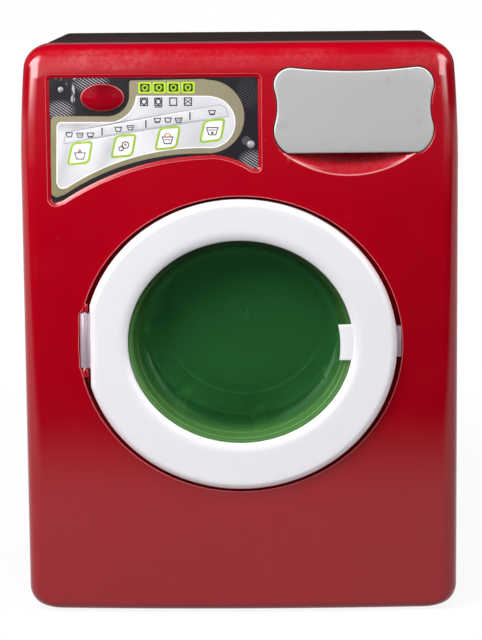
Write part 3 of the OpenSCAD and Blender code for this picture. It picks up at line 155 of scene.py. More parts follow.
class WasherFinish(bpy.types.PropertyGroup):
    """Colours of the moulded, printed and metal finishes"""
    red: colour("Red shell", "Glossy red front shell", (174, 1, 24))
    dark: colour("Dark housing", "Satin dark housing", (50, 41, 40))
    white: colour("White ring", "Glossy white door ring", (233, 232, 237))
    # Painted shade: the hinge barrel and the catch get grey lilac for the shade they sit in, deep in the gap
    # round the door
    painted_shade_fitting: colour("Door fittings", "Grey lilac of the hinge barrel and the catch", (158, 142, 154))
    drawer: colour("Grey drawer", "Satin grey drawer", (176, 177, 177))
    glass: colour("Green window", "Clear green window", (47, 112, 61))
    button: colour("Red button", "Clear red button", (190, 8, 34))
    drum: colour("Pale drum", "Moulded pale drum", (214, 216, 212))
    film: colour("Film ground", "Dark ground of the printed film", (30, 27, 32))
    band: colour("Film band", "Olive gold band round the printed field", (141, 133, 108))
    band_low: colour("Film band low", "The band at its lower left", (116, 110, 64))
    silver: colour("Film silver", "Silver field of the printed film", (218, 218, 223))
    white_print: colour("White print", "White lines and keys", (250, 250, 250))
    lime: colour("Lime print", "Lime outlines of the keys", (160, 200, 56))
    lamp_print: colour("Lamp print", "Bright lime of the four marks", (190, 226, 44))
    symbol: colour("Symbol print", "Dark grey symbols", (52, 52, 56))
    warm: colour("Warm print", "Brown pink accents in the symbols", (178, 128, 112))
    strip: colour("Strip print", "Paler slanted strip", (222, 222, 227))
    moulded: colour("Inner plastic", "Natural grey inner mouldings", (150, 152, 154))
    gear: colour("Gear plastic", "Milky gear plastic", (224, 220, 204))
    steel: colour("Steel", "Bright zinc plated steel", (196, 198, 202))
    brass: colour("Brass", "Plain brass", (190, 150, 78))
    board: colour("Circuit board", "Green lacquered board", (28, 92, 52))
    cell: colour("Cell jacket", "Plain grey blue battery jacket", (58, 76, 104))
    rubber: colour("Rubber", "Black rubber feet", (26, 26, 27))


class WasherStage(bpy.types.PropertyGroup):
    """Lights, floor and camera"""
    lens: FloatProperty(name="Lens", description="Focal length in millimetres", default=140.44)
    camera_place: FloatVectorProperty(
        name="Camera", description="Place of the camera", size=3, subtype="TRANSLATION",
        unit="LENGTH", default=(0.02148, -1.1845, 0.3079))
    camera_yaw: turn("Yaw", "Turn of the camera to the right", -0.01922)
    camera_pitch: turn("Pitch", "Tilt of the camera down", 0.15597)
    camera_roll: turn("Roll", "Roll of the camera", -0.00896)
    key: watts("Key lamp", "Power of the left front lamp", 11.5)
    fill: watts("Fill lamp", "Power of the right front lamp", 2.5)
    top: watts("Top lamp", "Power of the overhead lamp", 1.35)
    sides: watts("Side panels", "Power of each tall side panel", 4.0)
    back: watts("Back lamp", "Power of the lamp behind", 7.0)
    ambient: share("Ambient", "Level of the soft light from all round", 0.24)
    reach: length("White reach", "How far in front of the machine the floor shines white", 0.30)


GROUPS = {"washer_body": WasherBody, "washer_door": WasherDoor, "washer_controls": WasherControls,
          "washer_finish": WasherFinish, "washer_stage": WasherStage}


class Millimetres:
    """Reads a property group's lengths in millimetres."""

    def __init__(self, group):
        self.group = group

    def __getattr__(self, name):
        return getattr(self.group, name) * 1000.0


def sizes(scene, *names):
    """The named property groups, read in millimetres."""
    return [Millimetres(getattr(scene, "washer_" + name)) for name in names]


# ---------------------------------------------------------------- outlines in x and z

def arc(cx, cz, r, start, end, n):
    return [(cx + r * math.cos(math.radians(start + (end - start) * i / n)),
             cz + r * math.sin(math.radians(start + (end - start) * i / n))) for i in range(n + 1)]


def oval(rx, rz, cx, cz, n):
    return [(cx + rx * math.cos(2 * math.pi * i / n), cz + rz * math.sin(2 * math.pi * i / n))
            for i in range(n)]


def ovals(profile, cx, cz, n, k=1.0):
    """One oval for each radius and depth of the profile; k is the height over the width."""
    return [[(x, y, z) for x, z in oval(r, r * k, cx, cz, n)] for r, y in profile]


def oblong(x, z, half, tall):
    return [(x - half, z - tall), (x + half, z - tall), (x + half, z + tall), (x - half, z + tall)]


def area_of(points):
    return 0.5 * sum(a[0] * b[1] - b[0] * a[1] for a, b in zip(points, points[1:] + points[:1]))


def grown(points, d):
    """The closed outline moved outward by d (inward where d is negative)."""
    n = len(points)
    turn = 1.0 if area_of(points) > 0 else -1.0
    out = []
    for i in range(n):
        a, b, c = points[i - 1], points[i], points[(i + 1) % n]
        u = Vector((b[0] - a[0], b[1] - a[1])).normalized()
        v = Vector((c[0] - b[0], c[1] - b[1])).normalized()
        n1, n2 = Vector((u.y, -u.x)) * turn, Vector((v.y, -v.x)) * turn
        m = n1 + n2
        m /= max(m.length_squared / 2, 0.5)
        out.append((b[0] + m.x * d, b[1] + m.y * d))
    return out


def evened(points, step):
    """The closed outline with its points about step apart."""
    n = len(points)
    lengths = [math.dist(points[i], points[(i + 1) % n]) for i in range(n)]
    total = sum(lengths)
    count = max(12, round(total / step))
    out, i, run = [], 0, 0.0
    for k in range(count):
        want = total * k / count
        while run + lengths[i] < want:
            run += lengths[i]
            i += 1
        t = (want - run) / lengths[i] if lengths[i] else 0.0
        a, b = points[i], points[(i + 1) % n]
        out.append((a[0] + (b[0] - a[0]) * t, a[1] + (b[1] - a[1]) * t))
    return out


def rounded(points, r, n=5):
    """The closed outline with each of its corners rounded by r."""
    out = []
    count = len(points)
    for i in range(count):
        a, b, c = Vector(points[i - 1]), Vector(points[i]), Vector(points[(i + 1) % count])
        u, v = a - b, c - b
        reach = min(r, u.length * 0.45, v.length * 0.45)
        p, q = b + u.normalized() * reach, b + v.normalized() * reach
        for k in range(n + 1):
            t = k / n
            m = p * (1 - t) ** 2 + b * 2 * t * (1 - t) + q * t * t
            out.append((m.x, m.y))
    return out


def inside(x, z, outline):
    """Which of the points lie inside the closed outline."""
    x, z = np.asarray(x, float), np.asarray(z, float)
    result = np.zeros(x.shape, bool)
    n = len(outline)
    for i in range(n):
        x1, z1 = outline[i]
        x2, z2 = outline[(i + 1) % n]
        if z1 == z2:
            continue
        crosses = ((z1 > z) != (z2 > z)) & (x < (x2 - x1) * (z - z1) / (z2 - z1) + x1)
        result ^= crosses
    return result


def clear_of(x, z, outline, gap):
    """Which of the points lie at least gap away from the outline."""
    px, pz = np.asarray(x, float), np.asarray(z, float)
    result = np.ones(px.shape, bool)
    n = len(outline)
    for i in range(n):
        x1, z1 = outline[i]
        x2, z2 = outline[(i + 1) % n]
        dx, dz = x2 - x1, z2 - z1
        size = dx * dx + dz * dz or 1e-12
        t = np.clip(((px - x1) * dx + (pz - z1) * dz) / size, 0, 1)
        result &= (px - x1 - t * dx) ** 2 + (pz - z1 - t * dz) ** 2 > gap * gap
    return result


def filled(loops, pitch, keep, lines=()):
    """Triangles over the region that keep accepts, with the loops and lines as edges.
    Returns the points (x, z) and the triangles."""
    points, edges = [], []
    for loop in loops:
        first = len(points)
        points.extend(loop)
        edges.extend((first + i, first + (i + 1) % len(loop)) for i in range(len(loop)))
    for line in lines:
        first = len(points)
        points.extend(line)
        edges.extend((first + i, first + i + 1) for i in range(len(line) - 1))
    xs = [p[0] for p in points]
    zs = [p[1] for p in points]
    gx, gz = np.meshgrid(np.arange(min(xs) + pitch / 2, max(xs), pitch),
                         np.arange(min(zs) + pitch / 2, max(zs), pitch))
    gx[1::2] += pitch / 2
    gx, gz = gx.ravel(), gz.ravel()
    good = keep(gx, gz)
    gx, gz = gx[good], gz[good]
    for loop in loops:
        good = clear_of(gx, gz, loop, pitch * 0.55)
        gx, gz = gx[good], gz[good]
    points = [Vector(p) for p in points] + [Vector((a, b)) for a, b in zip(gx, gz)]
    made, _, faces, *_ = delaunay_2d_cdt(points, edges, [], 0, 1e-6)
    cx = [sum(made[i].x for i in f) / len(f) for f in faces]
    cz = [sum(made[i].y for i in f) / len(f) for f in faces]
    good = keep(np.array(cx), np.array(cz))
    return [(p.x, p.y) for p in made], [f for f, g in zip(faces, good) if g]


# ---------------------------------------------------------------- meshes

class Skin:
    """Points and faces of one piece, in millimetres from the middle of the front face."""

    def __init__(self):
        self.points = []
        self.faces = []
        self.slots = []

    def add(self, points):
        first = len(self.points)
        self.points.extend(points)
        return list(range(first, len(self.points)))

    def face(self, indices, slot=0):
        self.faces.append(tuple(indices))
        self.slots.append(slot)

    def strip(self, a, b, closed=True, slot=0):
        n = len(a)
        for i in range(n if closed else n - 1):
            j = (i + 1) % n
            self.face((a[i], a[j], b[j], b[i]), slot)

    def rings(self, rings, closed=True, slot=0):
        made = [self.add(r) for r in rings]
        for a, b in zip(made, made[1:]):
            self.strip(a, b, closed, slot)
        return made

    def sheet(self, flat, triangles, depth, slot=0):
        ids = self.add([(x, depth(x, z), z) for x, z in flat])
        for t in triangles:
            self.face([ids[i] for i in t], slot)
        return ids

    def capped(self, rings, slot=0):
        """Rings with a flat face over the first and the last."""
        made = self.rings(rings, slot=slot)
        self.face(list(reversed(made[0])), slot)
        self.face(made[-1], slot)

    def rod(self, start, end, r, n=24, edge=0.25, slot=0):
        """A round bar with softened ends."""
        a, b = Vector(start), Vector(end)
        axis = (b - a).normalized()
        side = axis.orthogonal().normalized()
        other = axis.cross(side)
        rings = []
        for place, radius in ((a, r - edge), (a + axis * edge * 0.3, r - edge * 0.3),
                              (a + axis * edge, r), (b - axis * edge, r),
                              (b - axis * edge * 0.3, r - edge * 0.3), (b, r - edge)):
            rings.append([tuple(place + (side * math.cos(2 * math.pi * i / n)
                                         + other * math.sin(2 * math.pi * i / n)) * radius)
                          for i in range(n)])
        self.capped(rings, slot)

    def tube(self, x, z, r_out, r_in, y0, y1, n=28, slot=0):
        """A round post along the depth with a round hole."""
        e = 0.2
        profile = [(r_in, y0 + 1e-3), (r_in + e, y0), (r_out - e, y0), (r_out, y0 + e), (r_out, y1 - e),
                   (r_out - e, y1), (r_in + e, y1), (r_in, y1 - e)]
        self.rings(ovals(profile + profile[:1], x, z, n), slot=slot)

    def block(self, low, high, edge=0.3, slot=0):
        """A block with its edges cut back softly."""
        x0, y0, z0 = low
        x1, y1, z1 = high
        e = min(edge, (x1 - x0) / 3, (y1 - y0) / 3, (z1 - z0) / 3)
        rings = []
        for y, d in ((y0, e), (y0 + e * 0.3, e * 0.3), (y0 + e, 0), (y1 - e, 0),
                     (y1 - e * 0.3, e * 0.3), (y1, e)):
            c = 0.45 * e
            corners = []
            for sx, sz, order in ((1, 1, 0), (0, 1, 1), (0, 0, 0), (1, 0, 1)):
                px = (x1 - d) if sx else (x0 + d)
                pz = (z1 - d) if sz else (z0 + d)
                kx, kz = (-1 if sx else 1), (-1 if sz else 1)
                pair = [(px, pz + kz * (e + c)), (px + kx * c, pz + kz * c), (px + kx * (e + c), pz)]
                if order:
                    pair.reverse()
                corners.extend(pair)
            rings.append([(px, y, pz) for px, pz in corners])
        self.capped(rings, slot)

    def piece(self, name, materials, body, replaced, sharp):
        """Becomes a mesh object that rides on a body of the frame and takes the place of a node."""
        mesh = bpy.data.meshes.new(name)
        co = np.array(self.points, float)
        co[:, 1] += FACE_MIDDLE
        mesh.from_pydata((co * 0.001).tolist(), [], self.faces)
        mesh.polygons.foreach_set("material_index", self.slots)
        for m in materials:
            mesh.materials.append(m)
        obj = bpy.data.objects.new(name, mesh)
        bpy.context.scene.collection.objects.link(obj)
        welded(mesh, WELD_GAP * 0.001)
        mesh.shade_smooth()
        mesh.set_sharp_from_angle(angle=math.radians(sharp))
        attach(obj, body)
        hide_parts(replaced)
        return obj


def welded(mesh, distance):
    """Joins points that coincide, drops empty faces and turns all faces outward."""
    bm = bmesh.new()
    bm.from_mesh(mesh)
    bmesh.ops.remove_doubles(bm, verts=bm.verts, dist=distance)
    bmesh.ops.dissolve_degenerate(bm, dist=distance, edges=bm.edges)
    bmesh.ops.recalc_face_normals(bm, faces=bm.faces)
    bm.to_mesh(mesh)
    bm.free()
    mesh.validate()
    mesh.update()


def face_normals_from(obj, form, chosen):
    """Gives the corners of the chosen faces the exact normals of the curved face."""
    mesh = obj.data
    normals = [Vector(n.vector) for n in mesh.corner_normals]
    for polygon in mesh.polygons:
        if not chosen(polygon):
            continue
        for k in polygon.loop_indices:
            co = mesh.vertices[mesh.loops[k].vertex_index].co * 1000.0
            normals[k] = form.normal(co.x, co.z)
    mesh.normals_split_custom_set(normals)


class FrontForm:
    """The red front's outer surface, in millimetres from the middle of its face."""

    def __init__(self, body):
        b = Millimetres(body)
        self.half = b.width / 2
        self.height, self.gap = b.height, b.floor_gap
        self.top_r, self.base_r = b.top_corner, b.base_corner
        self.side_round, self.top_round, self.base_round = b.side_round, b.top_round, b.base_round
        self.lean, self.lean_h = b.side_lean, b.lean_height
        self.bow_r = (self.half ** 2 + b.bow ** 2) / (2 * b.bow)
        self.lean_a = math.atan(2 * self.lean / self.lean_h)
        self.lean_top = self.height - self.top_r * (1 - math.sin(self.lean_a))
        self.wall = b.front_wall
        self.back = b.front_depth

    def face_y(self, x):
        return self.bow_r - np.sqrt(self.bow_r ** 2 - np.asarray(x, float) ** 2)

    @staticmethod
    def fall(r, d):
        d = np.maximum(d, 0.0)
        return np.where(d >= r, 0.0, r - np.sqrt(np.maximum(r * r - (r - d) ** 2, 0.0)))

    def set_back(self, z):
        return self.fall(self.top_round, self.height - z) + self.fall(self.base_round, z - self.gap)

    def side_x(self, z):
        z = np.asarray(z, float)
        low = self.half - self.base_r + np.sqrt(np.maximum(
            self.base_r ** 2 - np.minimum(self.gap + self.base_r - z, self.base_r) ** 2, 0.0))
        t = (z - (self.lean_top - self.lean_h)) / self.lean_h
        leaning = self.half - self.lean * t * t
        cx = self.half - self.lean - self.top_r * math.cos(self.lean_a)
        above = np.maximum(z - self.height + self.top_r, 0.0)
        high = cx + np.sqrt(np.maximum(self.top_r ** 2 - above ** 2, 0.0))
        return np.select([z < self.gap + self.base_r, z < self.lean_top - self.lean_h, z < self.lean_top],
                         [low, self.half + 0 * z, leaning], high)

    def depth(self, x, z):
        x, z = np.abs(np.asarray(x, float)), np.asarray(z, float)
        fx = self.side_x(z) - self.side_round
        reach = fx * self.bow_r / (self.bow_r - self.side_round)
        fy = self.bow_r - np.sqrt((self.bow_r - self.side_round) ** 2 - fx * fx)
        edge = fy - np.sqrt(np.maximum(self.side_round ** 2 - (x - fx) ** 2, 0.0))
        return np.where(x <= reach, self.face_y(x), edge) + self.set_back(z)

    def normal(self, x, z, h=0.05):
        gx = (self.depth(x + h, z) - self.depth(x - h, z)) / (2 * h)
        gz = (self.depth(x, z + h) - self.depth(x, z - h)) / (2 * h)
        return Vector((float(gx), -1.0, float(gz))).normalized()

    def outline(self, inset=0.0):
        """Right half of the outline from the underside to the top."""
        top_r, base_r = self.top_r, self.base_r
        sides = [(self.half - inset - self.lean * (i / 10) ** 2, self.lean_top - self.lean_h * (1 - i / 10))
                 for i in range(10)]
        straight_low, straight_high = self.gap + base_r, sides[0][1]
        steps = 48
        straight = [(self.half - inset, straight_low + (straight_high - straight_low) * i / steps)
                    for i in range(1, steps)]
        return (arc(self.half - base_r, self.gap + base_r, base_r - inset, -90, 0, 14) + straight + sides
                + arc(self.half - self.lean - top_r * math.cos(self.lean_a), self.height - top_r,
                      top_r - inset, math.degrees(self.lean_a), 90, 18))

    def edge_columns(self, x, z, n=12):
        """Points from the rear edge of the side round to where the face begins."""
        fx = x - self.side_round
        s = float(self.set_back(z))
        fy = s + self.bow_r - math.sqrt((self.bow_r - self.side_round) ** 2 - fx * fx)
        tangent = math.atan2(fy - s - self.bow_r, fx)
        out = [(x, self.back, z), (x, (self.back + fy) / 2, z)]
        out += [(fx + self.side_round * math.cos(tangent * i / n),
                 fy + self.side_round * math.sin(tangent * i / n), z) for i in range(n + 1)]
        return out


# ---------------------------------------------------------------- finishes

class Nodes:
    """Short calls for building the nodes of a material or a world."""

    def __init__(self, name):
        self.material = bpy.data.materials.get(name) or bpy.data.materials.new(name)
        self.material.use_nodes = True
        self.tree = self.material.node_tree
        self.tree.nodes.clear()
        self.out = self.tree.nodes.new("ShaderNodeOutputMaterial")
        self.place = self.add("ShaderNodeTexCoord").outputs["Object"]

    @classmethod
    def over(cls, owner):
        """The same calls over a material or world that has an output already."""
        n = cls.__new__(cls)
        n.material, n.tree = owner, owner.node_tree
        n.out = next(node for node in n.tree.nodes if node.type.startswith("OUTPUT_"))
        n.place = n.add("ShaderNodeTexCoord").outputs["Object"]
        return n

    @property
    def base(self):
        """The socket that takes a finished plastic's colour."""
        return next(node for node in self.tree.nodes if node.type == "BSDF_PRINCIPLED").inputs["Base Color"]

    @property
    def tone(self):
        """The colour that goes into that socket."""
        return self.base.links[0].from_socket

    def add(self, kind, **settings):
        node = self.tree.nodes.new(kind)
        for key, value in settings.items():
            setattr(node, key, value)
        return node

    def link(self, a, b):
        self.tree.links.new(a, b)

    def put(self, socket, value):
        """Another node's output is linked, anything else becomes the socket's own value."""
        if isinstance(value, bpy.types.NodeSocket):
            self.link(value, socket)
        else:
            socket.default_value = value

    def math(self, operation, *values):
        node = self.add("ShaderNodeMath", operation=operation)
        for socket, value in zip(node.inputs, values):
            self.put(socket, value)
        return node.outputs[0]

    def product(self, *values):
        return reduce(lambda a, b: self.math("MULTIPLY", a, b), values)

    def total(self, *values):
        return reduce(lambda a, b: self.math("ADD", a, b), values)

    def most(self, values):
        """The largest of several values."""
        return reduce(lambda a, b: self.math("MAXIMUM", a, b), values)

    def gap(self, a, b):
        """How far apart two values are."""
        return self.math("ABSOLUTE", self.math("SUBTRACT", a, b))

    def radius(self, a, b):
        return self.math("SQRT", self.total(self.product(a, a), self.product(b, b)))

    def ramp(self, value, low, high, start=0.0, end=1.0, smooth=True):
        node = self.add("ShaderNodeMapRange", interpolation_type="SMOOTHSTEP" if smooth else "LINEAR")
        self.link(value, node.inputs["Value"])
        for key, v in (("From Min", low), ("From Max", high), ("To Min", start), ("To Max", end)):
            node.inputs[key].default_value = v
        return node.outputs[0]

    def noise(self, scale, detail=2.0, rough=0.5, stretch=None):
        node = self.add("ShaderNodeTexNoise")
        for key, v in (("Scale", scale), ("Detail", detail), ("Roughness", rough)):
            node.inputs[key].default_value = v
        place = self.place
        if stretch:
            mapping = self.add("ShaderNodeMapping")
            self.link(place, mapping.inputs["Vector"])
            mapping.inputs["Scale"].default_value = stretch
            place = mapping.outputs[0]
        self.link(place, node.inputs["Vector"])
        return node.outputs["Fac"]

    def mix(self, factor, a, b, blend="MIX"):
        """Colours, with b where the factor is one."""
        node = self.add("ShaderNodeMix", data_type="RGBA", blend_type=blend)
        self.link(factor, node.inputs[0])
        for v, socket in ((a, node.inputs[6]), (b, node.inputs[7])):
            self.put(socket, v if isinstance(v, bpy.types.NodeSocket) else tuple(v)[:3] + (1.0,))
        return node.outputs[2]

    def either(self, factor, a, b):
        """Shaders, with b where the factor is one."""
        node = self.add("ShaderNodeMixShader")
        for socket, value in zip(node.inputs, (factor, a, b)):
            self.put(socket, value)
        return node.outputs[0]

    def white(self, kind, strength):
        """White light from an emission or background node."""
        node = self.add(kind)
        node.inputs[0].default_value = (1.0, 1.0, 1.0, 1.0)
        self.put(node.inputs[1], strength)
        return node.outputs[0]

    def matt(self, grey):
        node = self.add("ShaderNodeBsdfDiffuse")
        node.inputs[0].default_value = (grey, grey, grey, 1.0)
        return node.outputs[0]

    def bump(self, height, strength, distance):
        node = self.add("ShaderNodeBump")
        node.inputs["Strength"].default_value = strength
        node.inputs["Distance"].default_value = distance
        self.link(height, node.inputs["Height"])
        return node.outputs[0]

    def split(self, vector):
        node = self.add("ShaderNodeSeparateXYZ")
        self.link(vector, node.inputs[0])
        return node.outputs

    def specks(self, scale, size, share):
        """Small pale dusty specks, each in its own cell."""
        dots = self.add("ShaderNodeTexVoronoi", feature="F1")
        dots.inputs["Scale"].default_value = scale
        self.link(self.place, dots.inputs["Vector"])
        chance = self.add("ShaderNodeSeparateColor")
        self.link(dots.outputs["Color"], chance.inputs[0])
        rare = self.math("GREATER_THAN", chance.outputs[0], 1.0 - share)
        near = self.ramp(dots.outputs["Distance"], size, size * 0.5)
        return self.product(rare, near, self.math("MULTIPLY_ADD", chance.outputs[1], 0.4, 0.15))

    def spot(self, x, z, wide, tall, start=1.0, end=0.5):
        """An oval spot on the face, with its middle and half sizes in millimetres."""
        place = self.split(self.place)
        a = self.math("MULTIPLY_ADD", place[0], 1000.0 / wide, -x / wide)
        b = self.math("MULTIPLY_ADD", place[2], 1000.0 / tall, -z / tall)
        return self.ramp(self.radius(a, b), start, end)

    def dust_and_sheen(self):
        """A thin uneven dusty film with handling marks, and a painted pink sheen, on the rounding that leads
        to the top: stronger to the left, and only where the surface faces partly upward.
        """
        up = self.split(self.add("ShaderNodeNewGeometry").outputs["Normal"])[2]
        fine = self.ramp(self.noise(420.0, 5.0, 0.7), 0.38, 0.66)
        wide = self.ramp(self.noise(34.0, 4.0, 0.6), 0.36, 0.62, 0.15, 1.0)
        left = self.ramp(self.split(self.place)[0], -0.015, -0.06, 0.35, 1.0)
        zone = self.product(self.ramp(up, 0.02, 0.3), self.ramp(up, 0.86, 0.7))
        return self.product(zone, self.math("MULTIPLY_ADD", fine, 0.12, 0.05), wide, left)

    def shader(self, **settings):
        node = self.add("ShaderNodeBsdfPrincipled")
        for key, value in settings.items():
            self.put(node.inputs[key.replace("_", " ")], value)
        self.link(node.outputs[0], self.out.inputs[0])
        return node

    def ink(self, tone, metal, rough, spread=0.1, scale=400.0):
        """Ink under a thin clear film."""
        self.shader(Base_Color=tone, Metallic=metal, Coat_Weight=0.4, Coat_Roughness=0.12,
                    Roughness=self.ramp(self.noise(scale, 2.0), 0.3, 0.7, rough, rough + spread),
                    Normal=self.bump(self.noise(900.0), 0.05, 0.000004))
        return self.material


def shade(rgba, factor):
    return tuple(min(1.0, c * factor) for c in tuple(rgba)[:3]) + (1.0,)


def moulded(name, rgba, rough=0.16, grain=0.004, grain_scale=900.0, variation=0.05, specks=0.0,
            spread=0.04, speck_and_sheen_colour=(0.75, 0.45, 0.45, 1.0), shine=0.5):
    """Injection moulded plastic: faint flow marks, fine surface grain and uneven gloss."""
    n = Nodes(name)
    flow = n.noise(14.0, 3.0, 0.55, stretch=(1.0, 1.0, 0.4))
    fine = n.noise(grain_scale, 2.0, 0.6)
    tone = n.mix(n.ramp(flow, 0.35, 0.65), shade(rgba, 1 - variation), shade(rgba, 1 + variation))
    if specks:
        for scale, size, share in ((260.0, 0.08, specks), (420.0, 0.10, specks * 1.6)):
            tone = n.mix(n.specks(scale, size, share), tone, speck_and_sheen_colour)
        # Pink painted sheen, mottled like a dusty film, on the upward rounding
        tone = n.mix(n.dust_and_sheen(), tone, speck_and_sheen_colour)
    gloss = n.ramp(n.noise(60.0, 3.0), 0.3, 0.7, rough - spread, rough + spread, smooth=False)
    n.shader(Base_Color=tone, Roughness=gloss, Specular_IOR_Level=shine,
             Normal=n.bump(fine, 0.12, grain * 0.001))
    return n.material


def bright_metal(name, rgba, rough=0.26):
    """Plated or turned metal with fine drawn marks."""
    n = Nodes(name)
    marks = n.noise(700.0, 3.0, 0.6, stretch=(1.0, 0.05, 1.0))
    tone = n.mix(n.noise(90.0, 3.0), shade(rgba, 0.9), shade(rgba, 1.05))
    n.shader(Base_Color=tone, Metallic=1.0,
             Roughness=n.ramp(marks, 0.3, 0.7, rough - 0.07, rough + 0.1, smooth=False),
             Normal=n.bump(marks, 0.15, 0.00002))
    return n.material


def tinted_plastic(name, rgba, tint, body, rough=0.14, shine=0.5, specks=0.0):
    """Tinted see-through moulding: a share of light scatters in its colour, the rest passes tinted."""
    n = Nodes(name)
    tone = n.mix(n.ramp(n.noise(20.0, 3.0), 0.3, 0.7), shade(rgba, 0.94), shade(rgba, 1.05))
    if specks:
        for scale, size, share in ((300.0, 0.07, specks), (520.0, 0.09, specks * 2)):
            tone = n.mix(n.specks(scale, size, share), tone, shade(rgba, 4.0))
    scatter = n.shader(Base_Color=tone, Specular_IOR_Level=shine,
                       Roughness=n.ramp(n.noise(45.0, 3.0), 0.3, 0.7, rough, rough + 0.08),
                       Normal=n.bump(n.noise(30.0, 2.0), 0.03, 0.0003))
    through = n.add("ShaderNodeBsdfTransparent")
    through.inputs[0].default_value = tuple(tint)[:3] + (1.0,)
    n.link(n.either(body, through.outputs[0], scatter.outputs[0]), n.out.inputs[0])
    return n.material


def printed(name, rgba):
    """Plain ink of one colour, a little uneven."""
    n = Nodes(name)
    tone = n.mix(n.ramp(n.noise(34.0, 3.0), 0.3, 0.7), shade(rgba, 0.93), shade(rgba, 1.04))
    return n.ink(tone, metal=0.0, rough=0.22)


def gold_band(name, rgba, low):
    """Olive gold ink that darkens towards the lower left."""
    n = Nodes(name)
    place = n.split(n.place)
    fall = n.ramp(n.total(place[2], n.product(place[0], 0.45)), 0.165, 0.205)
    tone = n.mix(fall, shade(low, 1.0), shade(rgba, 1.0))
    cloud = n.mix(n.noise(80.0), shade(rgba, 0.9), shade(rgba, 1.12))
    tone = n.mix(n.ramp(n.noise(30.0, 3.0), 0.3, 0.7), tone, cloud)
    return n.ink(tone, metal=0.2, rough=0.3)


def dotted_film(name, rgba):
    """Dark film printed with a fine slanting row of pale dots, with painted glare where it is wrinkled beside
    its left stud.
    """
    n = Nodes(name)
    place = n.split(n.place)
    lean, row_pitch, bead_pitch = math.radians(33), 0.00102, 0.0011
    across = n.total(n.product(place[0], math.sin(lean)), n.product(place[2], math.cos(lean)))
    along = n.math("SUBTRACT", n.product(place[0], math.cos(lean)), n.product(place[2], math.sin(lean)))
    rows = n.math("SINE", n.product(across, 2 * math.pi / row_pitch))
    beads = n.math("SINE", n.product(along, 2 * math.pi / bead_pitch))
    dots = n.ramp(n.total(rows, n.product(beads, 0.35)), 0.0, 0.9)
    # The rows of dots shine in five patches and stay faint elsewhere
    zones = n.most([n.spot(-65.0, 241.0, 9.5, 6.0, 1.0, 0.45), n.spot(-79.0, 228.6, 8.0, 5.4, 1.0, 0.4),
                    n.spot(6.5, 205.5, 8.0, 6.4, 1.0, 0.4),
                    n.product(n.spot(-34.0, 244.2, 7.0, 1.3), 0.8),
                    n.product(n.spot(4.0, 236.0, 6.5, 9.0), 0.1)])
    tone = n.mix(n.product(dots, n.math("MULTIPLY_ADD", zones, 0.8, 0.03)),
                 shade(rgba, 1.0), (0.55, 0.55, 0.60, 1.0))
    # Pale glare along the wrinkles beside the left stud
    ragged = n.ramp(n.noise(900.0, 3.0, 0.6, stretch=(1.0, 1.0, 0.5)), 0.44, 0.56)
    glare = n.most([n.spot(-72.9, 236.8, 0.8, 4.6), n.spot(-73.1, 233.6, 1.1, 1.9, 1.0, 0.6),
                    n.spot(-72.2, 243.0, 0.8, 1.1), n.spot(-78.2, 242.7, 0.45, 1.1),
                    n.spot(-80.4, 243.2, 0.6, 0.9), n.spot(-75.9, 240.3, 0.35, 0.8)])
    glare = n.product(glare, n.math("MULTIPLY_ADD", ragged, 0.7, 0.15))
    tone = n.mix(glare, tone, (0.66, 0.64, 0.74, 1.0))
    # A plain grey disc beside the right stud
    disc = n.product(n.spot(3.4, 214.9, 2.1, 2.1, 1.0, 0.85), 0.8)
    tone = n.mix(disc, tone, (0.10, 0.095, 0.105, 1.0))
    n.shader(Base_Color=tone, Specular_IOR_Level=0.25, Coat_Weight=0.15, Coat_Roughness=0.08,
             Roughness=n.ramp(n.noise(120.0, 3.0), 0.3, 0.7, 0.16, 0.24),
             Normal=n.bump(n.noise(240.0, 3.0), 0.05, 0.00002))
    return n.material


def silver_film(name, rgba):
    """Silver ink with slow cloudy shading and soft slanting bands of painted dark sheen."""
    n = Nodes(name)
    clouds = n.noise(24.0, 2.0, 0.4, stretch=(1.0, 1.0, 0.55))
    tone = n.mix(n.ramp(clouds, 0.34, 0.62), shade(rgba, 0.9), shade(rgba, 1.06))
    place = n.split(n.place)
    slant = n.total(place[0], n.product(place[2], -0.35))
    # Painted dark sheen: three soft slanting bands
    for middle, wide, dark in ((-0.1315, 0.0065, 0.5), (-0.1495, 0.005, 0.28), (-0.093, 0.009, 0.16)):
        ragged = n.ramp(n.noise(60.0, 2.0), 0.3, 0.6, 0.6, 1.0)
        dark_sheen = n.product(n.ramp(n.gap(slant, middle), wide, 0.0), ragged, dark)
        tone = n.mix(dark_sheen, tone, shade(rgba, 0.32))
    # Painted dark sheen: the upper left corner is deeper grey
    corner = n.product(n.ramp(place[0], -0.050, -0.070), n.ramp(place[2], 0.2175, 0.2225), 0.5)
    tone = n.mix(corner, tone, shade(rgba, 0.35))
    return n.ink(tone, metal=0.12, rough=0.3, spread=0.12, scale=500.0)


# ---------------------------------------------------------------- shared outlines of the face

def panel_outline(scene, inset):
    c, b = sizes(scene, "controls", "body")
    x0, x1, top, r = c.panel_left, c.panel_right, b.height - c.panel_drop, 2.0
    points = (arc(x0 + r, top - r, r, 180, 90, 8) + arc(x1 - r, top - r, r, 90, 0, 8)
              + arc(x1 - r, top - 41.3, r, 0, -115, 9)
              # The swept underside: a short arc at the right, a long one to the left, a rounded tip
              + arc(-14.9, top - 73, 36.3, 55, 86, 24)
              + arc(-11.2, top - 158.6, 121.5, 90.6, 123, 50) + arc(x0 + 3.3, top - 54.8, 3.3, 290, 180, 10))
    return grown(evened(points, 0.8), -inset)


